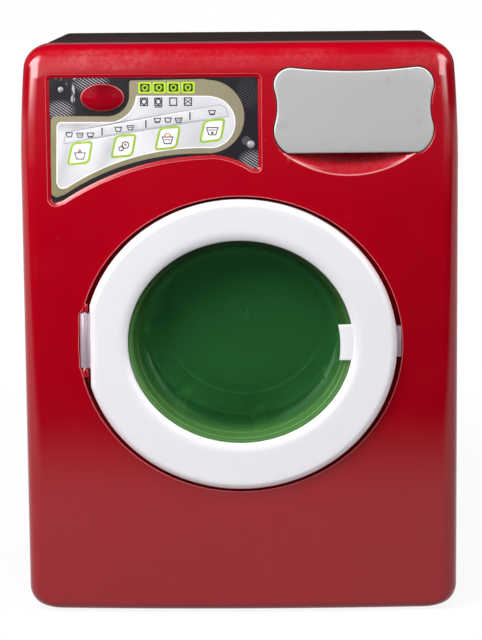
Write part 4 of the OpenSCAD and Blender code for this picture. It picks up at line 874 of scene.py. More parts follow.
def plate_outline(scene, grow):
    c, b = sizes(scene, "controls", "body")
    half, top = c.plate_half, b.height - c.plate_drop
    base, low_r, top_r = top - c.plate_height, 11.4, 7.5
    low_z, top_z = base + 10, top - top_r
    # The waist is an arc that touches the lobes below and above it
    total = (top_z - low_z) / math.sqrt(c.waist)
    root = total / 2 + (low_r - top_r) / total
    waist_r, waist_z = (root * root + c.waist) / 2 - low_r, low_z + math.sqrt(c.waist) * root
    low_turn = math.degrees(math.asin((waist_z - low_z) / (waist_r + low_r)))
    top_turn = math.degrees(math.asin((top_z - waist_z) / (waist_r + top_r)))
    side = ([(half - 6.2, base)] + arc(half - low_r, low_z, low_r, -62, low_turn, 20)
            + arc(half - c.waist + waist_r, waist_z, waist_r, 180 + low_turn * 0.9, 180 - top_turn * 0.9, 14)
            + arc(half - top_r, top_z, top_r, -top_turn, 92, 20))
    points = ([(c.drawer_x + x, z) for x, z in side]
              + [(c.drawer_x + (half - top_r) * t, top - c.sag * (1 - t * t))
                 for t in np.linspace(0.85, -0.85, 18)]
              + [(c.drawer_x - x, z) for x, z in reversed(side)])
    return grown(evened(points, 0.9), grow)


def tray_place(c, b):
    """Half width, underside and height of the drawer's tray."""
    half, height, drop = 26.0, 23.0, 6.2
    return half, b.height - c.plate_drop - drop - height, height


class ScoopForm:
    """The ball-shaped finger scoop under the drawer's front."""

    def __init__(self, scene, form):
        c, b = sizes(scene, "controls", "body")
        self.x = c.drawer_x
        self.plate_base = b.height - c.plate_drop - c.plate_height
        self.z = self.plate_base - c.scoop_drop + c.scoop_radius
        edge = self.plate_base - self.z
        behind = (c.scoop_radius ** 2 - edge ** 2 - c.scoop_depth ** 2) / (2 * c.scoop_depth)
        self.ball = math.hypot(c.scoop_radius, behind)
        self.y = float(form.face_y(self.x)) - behind
        self.top = self.plate_base + 2.5

    def depth(self, x, z):
        x, z = np.asarray(x, float), np.asarray(z, float)
        deep = self.y + np.sqrt(np.maximum(self.ball ** 2 - (x - self.x) ** 2 - (z - self.z) ** 2, 0.0))
        return np.where(z <= self.top + 1e-6, deep, -99.0)


class WasherPiece:
    """What the piece operators share."""
    bl_options = {"REGISTER", "UNDO"}

    @staticmethod
    def hinge_line(d):
        """Middle of the hinge pin."""
        return -d.flat_side - 2.5, 3.4, d.centre + d.hinge_rise

    def finish(self, scene, name):
        return tuple(getattr(scene.washer_finish, name))

    def steel(self, scene):
        return bright_metal("zinc_plated_steel", self.finish(scene, "steel"))

    def inner_plastic(self, scene):
        return moulded("natural_inner_plastic", self.finish(scene, "moulded"), rough=0.42, grain=0.01)


class WASHER_OT_front_shell(WasherPiece, bpy.types.Operator):
    """Builds the glossy red front shell with its seat, recess, well and scoop"""
    bl_idname = "washer.front_shell"
    bl_label = "Front Shell"

    def execute(self, context):
        scene = context.scene
        form = FrontForm(scene.washer_body)
        scoop = ScoopForm(scene, form)
        b, c, d = sizes(scene, "body", "controls", "door")
        skin = Skin()
        rows = form.outline()
        # Full rows of faces run this far up from the base rounding and down from the top
        base_rows, top_rows, across = 2.5, 6.5, 72
        low = next(i for i, p in enumerate(rows) if p[1] > b.floor_gap + b.base_round + base_rows)
        high = max(i for i, p in enumerate(rows) if p[1] < b.height - top_rows)
        columns = {}
        for side in (1, -1):
            columns[side] = [skin.add([(side * x, y, z) for x, y, z in form.edge_columns(*p)]) for p in rows]
            for a, e in zip(columns[side], columns[side][1:]):
                skin.strip(a, e, closed=False)
        # Full rows above and below the openings
        middle = {}
        for i, (x, z) in enumerate(rows):
            if low < i < high:
                continue
            reach = skin.points[columns[1][i][-1]][0]
            middle[i] = skin.add([(t, float(form.depth(t, z)), z)
                                  for t in np.linspace(reach, -reach, across + 1)])
        for i in middle:
            if i + 1 in middle:
                skin.strip(middle[i], middle[i + 1], closed=False)
        for i in (0, len(rows) - 1):
            z = rows[i][1]
            edge = columns[1][i][1:] + middle[i][1:-1] + list(reversed(columns[-1][i][1:]))
            back = skin.add([(skin.points[k][0], form.back, z) for k in edge])
            skin.strip(edge, back, closed=False)
        # The face between them, with its openings
        border = ([skin.points[k][::2] for k in reversed(middle[low])]
                  + [skin.points[columns[1][i][-1]][::2] for i in range(low + 1, high)]
                  + [skin.points[k][::2] for k in middle[high]]
                  + [skin.points[columns[-1][i][-1]][::2] for i in range(high - 1, low, -1)])
        door = self.door_outline(d, 300)
        panel = panel_outline(scene, c.panel_lip)
        plate = plate_outline(scene, 0.4)
        recess, ledge = 2.2, 1.2

        def ground(x, z):
            return np.maximum(form.depth(x, z), scoop.depth(x, z))

        def soft(x, z):
            """The edge rounding dies away where the scoop runs under the drawer."""
            return np.clip((c.well_depth - ground(x, z)) / 2.0, 0.0, 1.0)

        edges = []
        quarter = [math.radians(15 * k) for k in range(7)]
        edge_steps = [(b.edge_round * (1 - math.sin(a)), b.edge_round * (1 - math.cos(a))) for a in quarter]
        # The rim round the panel: a rounded edge and a sloping ledge
        lip_r = 0.4
        lip_steps = [(c.panel_lip + lip_r * (1 - math.sin(a)), lip_r * (1 - math.cos(a)))
                     for a in quarter[:5]]
        lip_steps += [(0.3, 0.34), (0.1, 0.42), (0.0, 0.6)]
        for outline, steps in ((door, edge_steps), (plate, edge_steps), (panel, lip_steps)):
            rings = []
            for out, down in steps:
                loop = grown(outline, out)
                fade = soft(*np.array(loop).T) if outline is plate else np.ones(len(loop))
                y = ground(*np.array(loop).T) + down * fade
                rings.append([(x, float(v), z) for (x, z), v in zip(loop, y)])
            edges.append(rings[0])
            made = skin.rings(rings[:2]) + skin.rings(rings[1:4], slot=0 if outline is plate else 1)[1:]
            made += skin.rings(rings[3:])[1:]
            if outline is door:
                self.door_seat(skin, d, made[-1])
            elif outline is plate:
                self.drawer_well(skin, scene, made[-1], scoop)
            else:
                floor, wide = skin.rings([[(x, float(form.face_y(x)) + recess, z)
                                           for x, z in grown(outline, -inset)] for inset in (0.0, ledge)])
                skin.strip(made[-1], floor)
        loops = [border] + [[(x, z) for x, _, z in e] for e in edges]
        holes = loops[1:]
        crease = [p for p in self.crease(form, scoop) if p[1] < scoop.top - 0.4
                  and not inside([p[0]], [p[1]], grown(holes[1], 0.5))[0]]

        def keep(x, z):
            good = inside(x, z, border)
            for hole in holes:
                good &= ~inside(x, z, hole)
            return good

        flat, triangles = filled(loops, b.face_pitch, keep, lines=[crease])
        skin.sheet(flat, triangles, lambda x, z: float(ground(x, z)))
        self.rim(skin, form)
        self.posts(skin, scene, form)
        self.lugs(skin, d)
        edge = moulded("lit_red_edge", (0.66, 0.14, 0.15, 1.0), rough=0.14, grain=0.002, variation=0.04)
        obj = skin.piece("red_front_shell", [self.red(scene, scoop), edge], "machine",
                         "front_fascia", sharp=32)

        def plain(polygon):
            x, y, z = polygon.center * 1000.0
            if polygon.normal.y > -0.02 or abs(z - b.height / 2) > b.height / 2 - b.floor_gap - 0.4:
                return False
            y -= FACE_MIDDLE
            return abs(y - float(form.depth(x, z))) < 0.06 and y < form.back - 9
        face_normals_from(obj, form, plain)
        return {"FINISHED"}

    def red(self, scene, scoop):
        """Glossy red with painted shade that deepens it a little to the lower right, and a painted highlight
        along the scoop's edge.
        """
        material = moulded("glossy_red_shell", self.finish(scene, "red"), rough=0.10, grain=0.002,
                           variation=0.02, specks=0.03, spread=0.03,
                           speck_and_sheen_colour=(0.78, 0.42, 0.42, 1.0), shine=0.45)
        n = Nodes.over(material)
        place = n.split(n.place)
        # Painted shade: the red darkens towards the lower right, where less light falls
        fall = n.ramp(n.math("SUBTRACT", place[2], n.product(place[0], 0.35)), 0.235, 0.03, smooth=False)
        deep = n.mix(fall, n.tone, (0.74, 0.6, 0.76, 1.0), "MULTIPLY")
        # Painted highlight: a pale pink line along the scoop's edge, only below the drawer's front
        # The edge is a circle that widens away from the middle, because the face is bowed
        x = n.product(place[0], 1000.0)
        dx, dz = n.math("SUBTRACT", x, scoop.x), n.math("MULTIPLY_ADD", place[2], 1000.0, -scoop.z)
        bow = n.product(x, x, 1 / 2720 / 0.98)
        off = n.gap(n.total(n.radius(dx, dz), bow), 50.97)
        below = n.ramp(place[2], (scoop.plate_base + 0.6) / 1000, (scoop.plate_base - 0.4) / 1000)
        n.link(n.mix(n.product(n.ramp(off, 0.45, 0.15), below, 0.75), deep, (0.80, 0.30, 0.30, 1.0)), n.base)
        return material

    @staticmethod
    def door_outline(d, n):
        """The oval opening, let out a little round the hinge barrel."""
        points = []
        barrel_half, blend, let_out = 12.4, 1.2, 72.0
        for x, z in oval(d.opening_width / 2, d.opening_height / 2, 0.0, d.centre, n):
            near = min(1.0, max(0.0, (barrel_half + blend - abs(z - d.centre - d.hinge_rise)) / blend))
            if x < 0:
                x = min(x, x - (let_out + x) * near)
            points.append((x, z))
        return points

    def door_seat(self, skin, d, edge):
        n = len(edge)
        base = [(skin.points[k][0], skin.points[k][2]) for k in edge]
        collar = oval(d.ring_half_width - 13, d.ring_half_height - 13, 0.0, d.centre, n)
        rings = [[(x, d.seat_depth - 0.8, z) for x, z in base],
                 [(x, d.seat_depth - 0.25, z) for x, z in grown(base, -0.25)],
                 [(x, d.seat_depth, z) for x, z in grown(base, -0.8)],
                 [(x, d.seat_depth, z) for x, z in grown(collar, 0.6)],
                 [(x, d.seat_depth + 0.18, z) for x, z in grown(collar, 0.18)],
                 [(x, d.seat_depth + 0.6, z) for x, z in collar],
                 [(x, 21.4, z) for x, z in collar], [(x, 22.0, z) for x, z in grown(collar, 0.5)],
                 [(x, 22.0, z) for x, z in grown(collar, 2.0)],
                 [(x, d.seat_depth + 2.2, z) for x, z in grown(collar, 2.2)]]
        made = skin.rings(rings)
        skin.strip(edge, made[0])

    def drawer_well(self, skin, scene, edge, scoop):
        """The well's wall and floor, with the gate that the tray runs through."""
        c, b = sizes(scene, "controls", "body")
        floor_y = c.well_depth
        base = [(skin.points[k][0], skin.points[k][2]) for k in edge]
        x, z = np.array(base).T
        deep = np.maximum(scoop.depth(x, z), floor_y)
        inner = skin.add([(a, float(y), e) for (a, e), y in zip(base, deep)])
        skin.strip(edge, inner)
        half, z0, height = tray_place(c, b)
        play = 0.4
        gate = oblong(c.drawer_x, z0 + height / 2, half + play, height / 2 + play)
        gate = evened(rounded(gate, 0.5), 1.2)
        lip = [(c.drawer_x + t, scoop.top) for t in np.linspace(-25.5, 25.5, 40)]

        def keep(a, e):
            return inside(a, e, base) & ~inside(a, e, gate)

        def ground(a, e):
            return max(floor_y, float(scoop.depth(a, e)))

        flat, triangles = filled([base, gate], 2.4, keep, lines=[lip])
        skin.sheet(flat, triangles, ground)
        skin.rings([[(a, floor_y, e) for a, e in gate], [(a, floor_y + 2.2, e) for a, e in gate]])

    @staticmethod
    def crease(form, scoop):
        """Where the scoop meets the bowed face."""
        points = []
        for a in np.linspace(math.radians(208), math.radians(332), 70):
            low, high = 30.0, 60.0
            for _ in range(30):
                r = (low + high) / 2
                x, z = scoop.x + r * math.cos(a), scoop.z + r * math.sin(a)
                if float(scoop.depth(x, z)) > float(form.depth(x, z)):
                    low = r
                else:
                    high = r
            points.append((x, z))
        return points

    def rim(self, skin, form):
        """The open rear edge, folded in to the shell's inner side."""
        outer, inner = form.outline(), form.outline(form.wall)
        whole = outer + [(-x, z) for x, z in reversed(outer)]
        within = inner + [(-x, z) for x, z in reversed(inner)]
        rings = [[(x, form.back, z) for x, z in whole], [(x, form.back, z) for x, z in within],
                 [(x, form.back - 12, z) for x, z in within]]
        skin.rings(rings)

    def posts(self, skin, scene, form):
        """Screw posts behind the face, for the housing, the board and the drawer's guide."""
        b, c = sizes(scene, "body", "controls")
        # Outer and inner radius of each kind of post
        corner_post, board_post, guide_post = (3.6, 1.44), (2.4, 0.94), (2.6, 0.94)
        x, low, high = form.half - 13.5, b.floor_gap + 14, b.height - 13
        for px, pz in ((x, low), (-x, low), (x, high), (-x, high)):
            skin.tube(px, pz, *corner_post, float(form.face_y(px)) + 2.6, b.front_depth + 6)
        for px, pz in ((c.button_x - 16, b.height - c.button_drop - 10),
                       (c.button_x + 18, b.height - c.button_drop + 6)):
            skin.tube(px, pz, *board_post, 6.9, 19.5)
        for side in (-1, 1):
            skin.tube(c.drawer_x + side * 31.4, b.height - c.plate_drop - 17.7, *guide_post, 8.7, 12.55)

    def lugs(self, skin, d):
        """The two ears that hold the hinge pin."""
        x, y, z = self.hinge_line(d)
        apart, tall, r = 14.7, 4.0, 1.6
        for side in (-1, 1):
            z0 = z + side * apart - tall / 2
            skin.rod((x, y, z0), (x, y, z0 + tall), r, edge=0.15)
            skin.block((x - 6, y - 0.64, z0 + 0.02), (x, y + r, z0 + tall - 0.02), edge=0.15)


class WASHER_OT_housing(WasherPiece, bpy.types.Operator):
    """Gives the dark housing, its feet and its screws their finishes"""
    bl_idname = "washer.housing"
    bl_label = "Dark Housing"

    def execute(self, context):
        scene = context.scene
        dark = moulded("satin_dark_housing", self.finish(scene, "dark"), rough=0.42, grain=0.03,
                       grain_scale=1500.0, variation=0.06, shine=0.0)
        dress(["rear_housing", "battery_cover"], dark, "dark_shell")
        rubber = moulded("black_rubber", self.finish(scene, "rubber"), rough=0.7, grain=0.03,
                         grain_scale=900.0, variation=0.1)
        dress(["feet"], rubber, "rubber_foot")
        dress(["housing_screws", "cover_screw"], self.steel(scene), "steel")
        return {"FINISHED"}


def dress(names, material, slot):
    """Puts a finish on pieces that come from the frame."""
    for name in names:
        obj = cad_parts[name]
        obj.data.materials.clear()
        obj.data.materials.append(material)
        for polygon in obj.data.polygons:
            polygon.material_index = 0
        weld = obj.modifiers.new("weld", "WELD")
        weld.merge_threshold = 0.000002


class WASHER_OT_door(WasherPiece, bpy.types.Operator):
    """Builds the white door ring, its grip tab and catch, and the green window bowl"""
    bl_idname = "washer.door"
    bl_label = "Door"

    def execute(self, context):
        scene = context.scene
        d, = sizes(scene, "door")
        white = moulded("glossy_white_ring", self.finish(scene, "white"), rough=0.2, grain=0.002,
                        variation=0.012, spread=0.04, shine=0.16)
        n = Nodes.over(white)
        # Painted shade: the ring turns greyer towards its lower part
        low = n.ramp(n.split(n.place)[2], 0.19, 0.06, smooth=False)
        n.link(n.mix(low, n.tone, (0.90, 0.89, 0.93, 1.0)), n.base)
        skin = Skin()
        self.ring(skin, d, 288)
        self.fittings(skin, d)
        # Painted shade: grey lilac on the hinge barrel and the catch, for the shade in the gap round the door
        painted_shade_fitting = moulded("lilac_grey_fittings", self.finish(scene, "painted_shade_fitting"), rough=0.3, grain=0.004,
                          variation=0.06)
        skin.piece("white_door_ring", [white, painted_shade_fitting], "door", "door_ring", sharp=36)
        bowl = Skin()
        self.window(bowl, d, 200)
        bowl.piece("green_window_bowl", [self.green(scene, d)], "door", "door_window",
                   sharp=50)
        dress(["door_back_ring"], white, "white_ring")
        dress(["door_screws", "hinge_pin"], self.steel(scene), "steel")
        return {"FINISHED"}

    def green(self, scene, d):
        """Clear green that is denser in the bowl's wall, with painted light on the wall and fine painted
        highlight lines round it, and clearer below.
        """
        material = tinted_plastic("clear_green_window", self.finish(scene, "glass"), (0.62, 0.90, 0.66), 0.3,
                                  shine=0.12, specks=0.012)
        n = Nodes.over(material)
        either = next(node for node in n.tree.nodes if node.type == "MIX_SHADER")
        place = n.split(n.place)
        a = n.product(place[0], 1000.0 / d.window_half_width)
        b = n.math("MULTIPLY_ADD", place[2], 1000.0 / d.window_half_height,
                   -(d.centre + d.window_rise) / d.window_half_height)
        far = n.radius(a, b)
        wall = n.ramp(far, 0.86, 0.95)
        # The wall is brightest below, where the light from above comes in
        lower = n.ramp(b, 0.55, -0.85)
        side = n.mix(n.ramp(b, 0.95, 0.1), (0.010, 0.024, 0.008, 1.0), (0.045, 0.13, 0.032, 1.0))
        tone = n.mix(wall, n.tone, n.mix(lower, side, (0.11, 0.25, 0.065, 1.0)))
        # Painted highlights: fine pale lines round the wall, on its lower part only
        lines = n.most([n.ramp(n.gap(far, r), 0.006, 0.002) for r in (0.925, 0.955, 0.982)])
        tone = n.mix(n.product(lines, n.ramp(b, 0.4, -0.5, 0.0, 0.6)), tone, (0.22, 0.50, 0.20, 1.0))
        n.link(tone, n.base)
        body = n.ramp(place[2], (d.centre - 5) / 1000, (d.centre - 38) / 1000, 0.42, 0.18)
        n.link(n.math("MULTIPLY_ADD", wall, 0.38, body), either.inputs[0])
        return material

    @staticmethod
    def ring_loop(d, inset, y, n):
        rx, rz, flat = d.ring_half_width, d.ring_half_height, d.flat_side
        out = []
        for i in range(n):
            a = 2 * math.pi * i / n
            x, z = (rx - inset) * math.cos(a), (rz - inset) * math.sin(a)
            out.append((max(x, inset - flat), y, d.centre + z))
        return out

    def ring(self, skin, d, n):
        front, back, r = -d.proud, d.ring_back, d.ring_round
        wx, wz = d.window_half_width, d.window_half_height
        k = wz / wx

        def window(grow, y):
            return [(x, y, z) for x, z in oval(wx + grow, (wx + grow) * k, 0.0, d.centre + d.window_rise, n)]

        def between(t, y):
            a, b = self.ring_loop(d, r, y, n), window(d.bevel, y)
            return [(p[0] + (q[0] - p[0]) * t, y, p[2] + (q[2] - p[2]) * t) for p, q in zip(a, b)]
        rings = [self.ring_loop(d, d.ring_wall, back - 2.1, n), self.ring_loop(d, d.ring_wall, back - 0.2, n),
                 self.ring_loop(d, d.ring_wall - 0.2, back, n), self.ring_loop(d, 0.3, back, n),
                 self.ring_loop(d, 0.08, back - 0.1, n), self.ring_loop(d, 0.0, back - 0.3, n)]
        for i in range(13):
            a = math.radians(90 - 7.5 * i)
            rings.append(self.ring_loop(d, r * (1 - math.sin(a)), front + r * (1 - math.cos(a)), n))
        # The flat between the outer rounding and the bevel
        for t in (0.12, 0.3, 0.5, 0.7, 0.88):
            rings.append(between(t, front))
        rings += [window(d.bevel * (1 - t), front + 1.35 * t ** 2.6) for t in np.linspace(0.0, 0.94, 14)]
        rings += [window(0.1, front + 1.4), window(0.0, front + 1.6),
                  window(0.0, front + 2.0), window(0.2, front + 2.2), window(4.0, front + 2.2)]
        skin.rings(rings)

    def fittings(self, skin, d):
        """Hinge barrel, catch tongue and grip tab."""
        x, y, z = self.hinge_line(d)
        barrel_half, barrel_r = 12.4, 2.35
        skin.rod((x, y, z - barrel_half), (x, y, z + barrel_half), barrel_r, n=40, edge=0.5, slot=1)
        skin.block((x, y - 1.84, z - 12.35), (1.1 - d.flat_side, d.ring_back - 0.02, z + 12.35),
                   edge=0.2, slot=1)
        skin.block((d.ring_half_width - 1.1, 2.4, d.centre - 6.0),
                   (72.05, d.ring_back, d.centre + 8.0), edge=0.4, slot=1)
        # The grip tab: its free edge is hollow and follows a circle about the door's axis
        middle, half, r = d.centre + 1.3, 8.05, 44.6
        low, high = middle - half, middle + half
        root = d.window_half_width + 1.0
        rings = []
        e = 0.45
        for yy, cut in ((-0.8, 0.0), (-1.75 + e, 0.0), (-1.75 + e * 0.3, e * 0.3), (-1.75, e)):
            edge = [(math.sqrt(max(r * r - (zz - d.centre) ** 2, 0)) + cut, yy, zz)
                    for zz in np.linspace(low + cut, high - cut, 20)]
            # The tab's surface rises towards its root
            far = [(root, min(yy - 0.05, -0.8), zz) for zz in np.linspace(high - cut, low + cut, 20)]
            rings.append(edge + far)
        made = skin.rings(rings)
        for ids in (made[0], made[-1]):
            m = len(ids) // 2
            for i in range(m - 1):
                skin.face((ids[i], ids[i + 1], ids[-i - 2], ids[-i - 1]))

    def window(self, skin, d, n):
        wx, k = d.window_half_width, d.window_half_height / d.window_half_width
        socket, wall = d.ring_wall - d.proud, d.bowl_wall
        rx, end, r = wx - 0.7, socket + d.bowl_depth, d.bowl_corner
        flange, flange_t = wx + 4.5, 1.8
        inner = rx - wall
        profile = [(flange, socket + 0.15), (flange - 0.15, socket), (inner + 0.8, socket),
                   (inner + 0.25, socket + 0.15), (inner, socket + 0.7)]
        cx, cy = inner - d.bowl_draft - r, end - wall - r
        # The bottom is crowned by a millimetre
        profile += arc(cx, cy, r, 0, 90, 12)
        profile += [(cx * t, end - wall + (1 - t * t)) for t in (0.8, 0.6, 0.4, 0.2, 0.02)]
        back = [(cx * t, end + (1 - t * t)) for t in (0.02, 0.2, 0.4, 0.6, 0.8)]
        back += arc(cx, cy, r + wall, 90, 0, 12)
        back += [(rx, socket + flange_t + 0.5), (rx + 0.5, socket + flange_t),
                 (flange - 0.15, socket + flange_t), (flange, socket + flange_t - 0.15)]

        middle = d.centre + d.window_rise
        front_ids, back_ids = (skin.rings(ovals(p, 0.0, middle, n, k)) for p in (profile, back))
        skin.strip(back_ids[-1], front_ids[0])
        skin.face(list(reversed(front_ids[-1])))
        skin.face(back_ids[0])


class WASHER_OT_panel(WasherPiece, bpy.types.Operator):
    """Builds the printed control film with its plain laundry symbols, and its studs"""
    bl_idname = "washer.panel"
    bl_label = "Control Panel"

    BAND = ([(-47.5, 241.7), (-15.4, 242.2)] + arc(-13.6, 225.6, 16.2, 88, -95, 26)
            + arc(-17.7, 101.2, 108.2, 90.5, 123.5, 30)
            + [(-81.3, 189.9), (-83.2, 191.2), (-83.9, 193.4), (-83.1, 224.2), (-82.6, 225.6), (-81.0, 226.1),
               (-58.2, 226.0)] + arc(-57.7, 235.7, 9.7, -88, -10, 12) + [(-48.0, 240.9)])
    FIELD = ([(-45.0, 235.0), (-12.2, 234.8)] + arc(-12.8, 223.1, 11.5, 86, -80, 22)
             + arc(-16.8, 101.5, 110.3, 87.5, 122.6, 30)
             + [(-78.4, 193.7), (-80.2, 194.4), (-81.2, 196.6), (-80.6, 221.6), (-80.2, 223.0),
                (-79.0, 223.6), (-55.6, 223.5)] + arc(-57.9, 236.1, 12.8, -80, -8, 12))

    def execute(self, context):
        scene = context.scene
        form = FrontForm(scene.washer_body)
        c, b = sizes(scene, "controls", "body")
        film = panel_outline(scene, c.panel_lip + 0.15)
        bz = b.height - c.button_drop
        hole = oval(c.button_width / 2 + 0.2, c.button_height / 2 + 0.2, c.button_x, bz, 96)
        prints = self.prints()
        loops = [film, hole] + [p for p, _ in prints]

        def keep(x, z):
            return inside(x, z, film) & ~inside(x, z, hole)

        flat, triangles = filled(loops, 4.0, keep)
        centre = np.array([[sum(flat[i][k] for i in t) / 3 for k in (0, 1)] for t in triangles])
        slots = np.zeros(len(triangles), int)
        for outline, slot in prints:
            slots[inside(centre[:, 0], centre[:, 1], outline)] = slot
        skin = Skin()

        def depth(x, z):
            return float(form.face_y(x)) + c.film_depth

        ids = skin.add([(x, depth(x, z), z) for x, z in flat])
        for t, slot in zip(triangles, slots):
            skin.face([ids[i] for i in t], int(slot))
        for outline, sign in ((film, 1), (hole, -1)):
            rings = [[(x, depth(x, z), z) for x, z in outline],
                     [(x, depth(x, z) + 0.08, z) for x, z in grown(outline, 0.08 * sign)],
                     [(x, depth(x, z) + 1.5, z) for x, z in grown(outline, 0.08 * sign)]]
            skin.rings(rings)
        materials = [
            dotted_film("dotted_dark_film", self.finish(scene, "film")),
            gold_band("olive_gold_band", self.finish(scene, "band"), self.finish(scene, "band_low")),
            silver_film("silver_field", self.finish(scene, "silver")),
            printed("white_print", self.finish(scene, "white_print")),
            printed("lime_print", self.finish(scene, "lime")),
            printed("bright_lime_print", self.finish(scene, "lamp_print")),
            printed("symbol_print", self.finish(scene, "symbol")),
            printed("warm_print", self.finish(scene, "warm")),
            printed("pale_strip_print", self.finish(scene, "strip")),
            printed("deep_green_print", (0.012, 0.030, 0.006, 1.0)),
            printed("grey_line_print", (0.33, 0.33, 0.35, 1.0))]
        skin.piece("printed_control_film", materials, "machine", "control_panel", sharp=30)
        self.studs(scene, form)
        return {"FINISHED"}

    def prints(self):
        """Every printed area as an outline and its ink, in painting order."""
        band, field, white, lime, bright, dark, warm, strip, deep, outline = range(1, 11)
        made = [(evened(self.BAND, 1.0), band), (evened(self.FIELD, 1.0), white),
                (grown(evened(self.FIELD, 1.0), -0.55), field)]
        # Slanted strip with a fine dark outline
        slant = [(-77.7, 213.7), (-76.6, 219.1), (-8.2, 231.0), (-5.4, 229.6), (-4.2, 225.6)]
        made += [(slant, outline), (grown(slant, -0.3), strip)]
        # Three short bars across the strip
        for x, z in ((-60.4, 219.3), (-40.9, 222.6), (-21.4, 225.9)):
            made.append((oblong(x, z, 0.3, 1.7), dark))
        # Four bright marks: a frame with a dark ring
        for x in (-41.1, -34.9, -28.5, -22.1):
            z = 238.5
            made += [(rounded(oblong(x, z, 2.95, 2.5), 0.9), bright),
                     (rounded(oblong(x, z, 2.1, 1.75), 0.5), deep),
                     (oval(1.35, 1.35, x, z, 20), bright), (oval(0.8, 0.8, x, z, 16), deep)]
        # Four dark marks under them
        for i, x in enumerate((-41.6, -35.3, -28.7, -22.2)):
            made += self.small_mark(i, x, 232.3, dark, field)
        # Keys with a lime outline
        for i, (x, z) in enumerate(((-70.4, 209.5), (-51.0, 212.6), (-31.4, 216.0), (-11.6, 219.2))):
            key = [(x - 3.7, z + 5.0), (x + 6.1, z + 5.8), (x + 4.1, z - 4.4), (x - 6.1, z - 5.4)]
            soft = rounded(key, 2.4)
            made += [(soft, lime), (grown(soft, -1.0), white)]
            made += self.key_symbol(i, x, z, dark, warm, white)
        # Small tub signs on the strip
        for i, (x, z) in enumerate(((-75.0, 217.9), (-70.3, 217.7), (-65.6, 217.7), (-53.2, 220.2),
                                    (-47.8, 220.9), (-35.8, 224.1), (-31.1, 224.2), (-26.5, 224.1),
                                    (-11.6, 227.4))):
            made += self.tub(x, z, 1.75, 1.15, dark, strip, fill=i % 3)
        return made

    @staticmethod
    def bar(x0, z0, x1, z1, w):
        """A straight stroke."""
        a, b = Vector((x0, z0)), Vector((x1, z1))
        side = (b - a).normalized().orthogonal() * (w / 2)
        return [tuple(a + side), tuple(a - side), tuple(b - side), tuple(b + side)]

    def tub(self, x, z, half, tall, ink, ground, fill=0):
        """A wash tub: a wide open bowl with a water line."""
        shape = [(x - half, z + tall), (x - half * 0.62, z - tall), (x + half * 0.62, z - tall),
                 (x + half, z + tall)]
        made = [(shape, ink), (grown(shape, -0.46), ground)]
        if fill == 1:
            made.append((self.bar(x - half * 0.5, z + 0.1, x + half * 0.5, z + 0.1, 0.35), ink))
        elif fill == 2:
            made.append((self.bar(x - half * 0.7, z - tall + 0.5, x + half * 0.7, z - tall + 0.5, 0.5), ink))
        return made

    def small_mark(self, i, x, z, ink, ground):
        """A square frame, with a ring, a line under it or a cross in it."""
        square = oblong(x, z, 1.8, 1.9)
        made = [(square, ink), (grown(square, -0.55), ground)]
        if i < 2:
            made += [(oval(1.45, 1.45, x, z + 0.1, 20), ink), (oval(0.85, 0.85, x, z + 0.1, 16), ground)]
            if i == 1:
                made.append((self.bar(x - 1.7, z - 2.3, x + 1.7, z - 2.3, 0.5), ink))
        elif i == 3:
            made += [(self.bar(x - 1.6, z - 1.2, x + 1.6, z + 1.2, 0.4), ink),
                     (self.bar(x - 1.6, z + 1.2, x + 1.6, z - 1.2, 0.4), ink)]
        return made

    def key_symbol(self, i, x, z, ink, warm, ground):
        """A tub with a dab over it, two rings, a full tub, or a tub with a dot."""
        if i == 0:
            return (self.tub(x, z - 1.0, 2.7, 1.6, ink, ground)
                    + [([(x - 1.2, z + 0.4), (x + 1.1, z + 0.4), (x - 0.1, z + 2.4)], warm)])
        if i == 1:
            made = []
            for dx, dz, r in ((-1.1, -0.9, 1.2), (0.9, 0.7, 1.7)):
                made += [(oval(r, r, x + dx, z + dz, 20), ink),
                         (oval(r - 0.48, r - 0.48, x + dx, z + dz, 18), ground)]
            return made + [(oval(0.6, 0.6, x + 0.9, z + 0.9, 12), warm)]
        if i == 2:
            return (self.tub(x, z - 0.7, 2.6, 1.7, ink, ground)
                    + [(oval(1.5, 1.1, x, z + 1.4, 18), warm), (oval(0.9, 0.55, x, z + 1.5, 14), ground),
                       (self.bar(x - 1.4, z - 0.5, x + 1.4, z - 0.5, 0.35), ink)])
        return (self.tub(x, z, 2.8, 1.8, ink, ground)
                + [(self.bar(x - 1.7, z + 0.5, x + 1.7, z + 0.5, 0.35), ink),
                   (oval(0.55, 0.55, x, z - 0.7, 12), ink)])

    def studs(self, scene, form):
        """The domed heads and shanks of the two studs."""
        c, b = sizes(scene, "controls", "body")
        skin = Skin()
        top = b.height - c.panel_drop
        for x, z, r in ((-78.4, top - 6.5, 1.3), (5.4, top - 31.1, 1.7)):
            y = float(form.face_y(x)) + c.film_depth
            profile = [(r, y), (r, y - 0.15), (r * 0.94, y - 0.38), (r * 0.8, y - 0.58), (r * 0.55, y - 0.74),
                       (r * 0.28, y - 0.82), (0.02, y - 0.84)]
            skin.face(skin.rings(ovals(profile, x, z, 32))[-1])
            skin.tube(x, z, 0.8, 0.2, y, y + 4.0)
        satin = moulded("satin_studs", (0.30, 0.30, 0.31, 1.0), rough=0.34, shine=0.35)
        skin.piece("panel_stud_heads", [satin], "machine", "panel_studs", sharp=40)


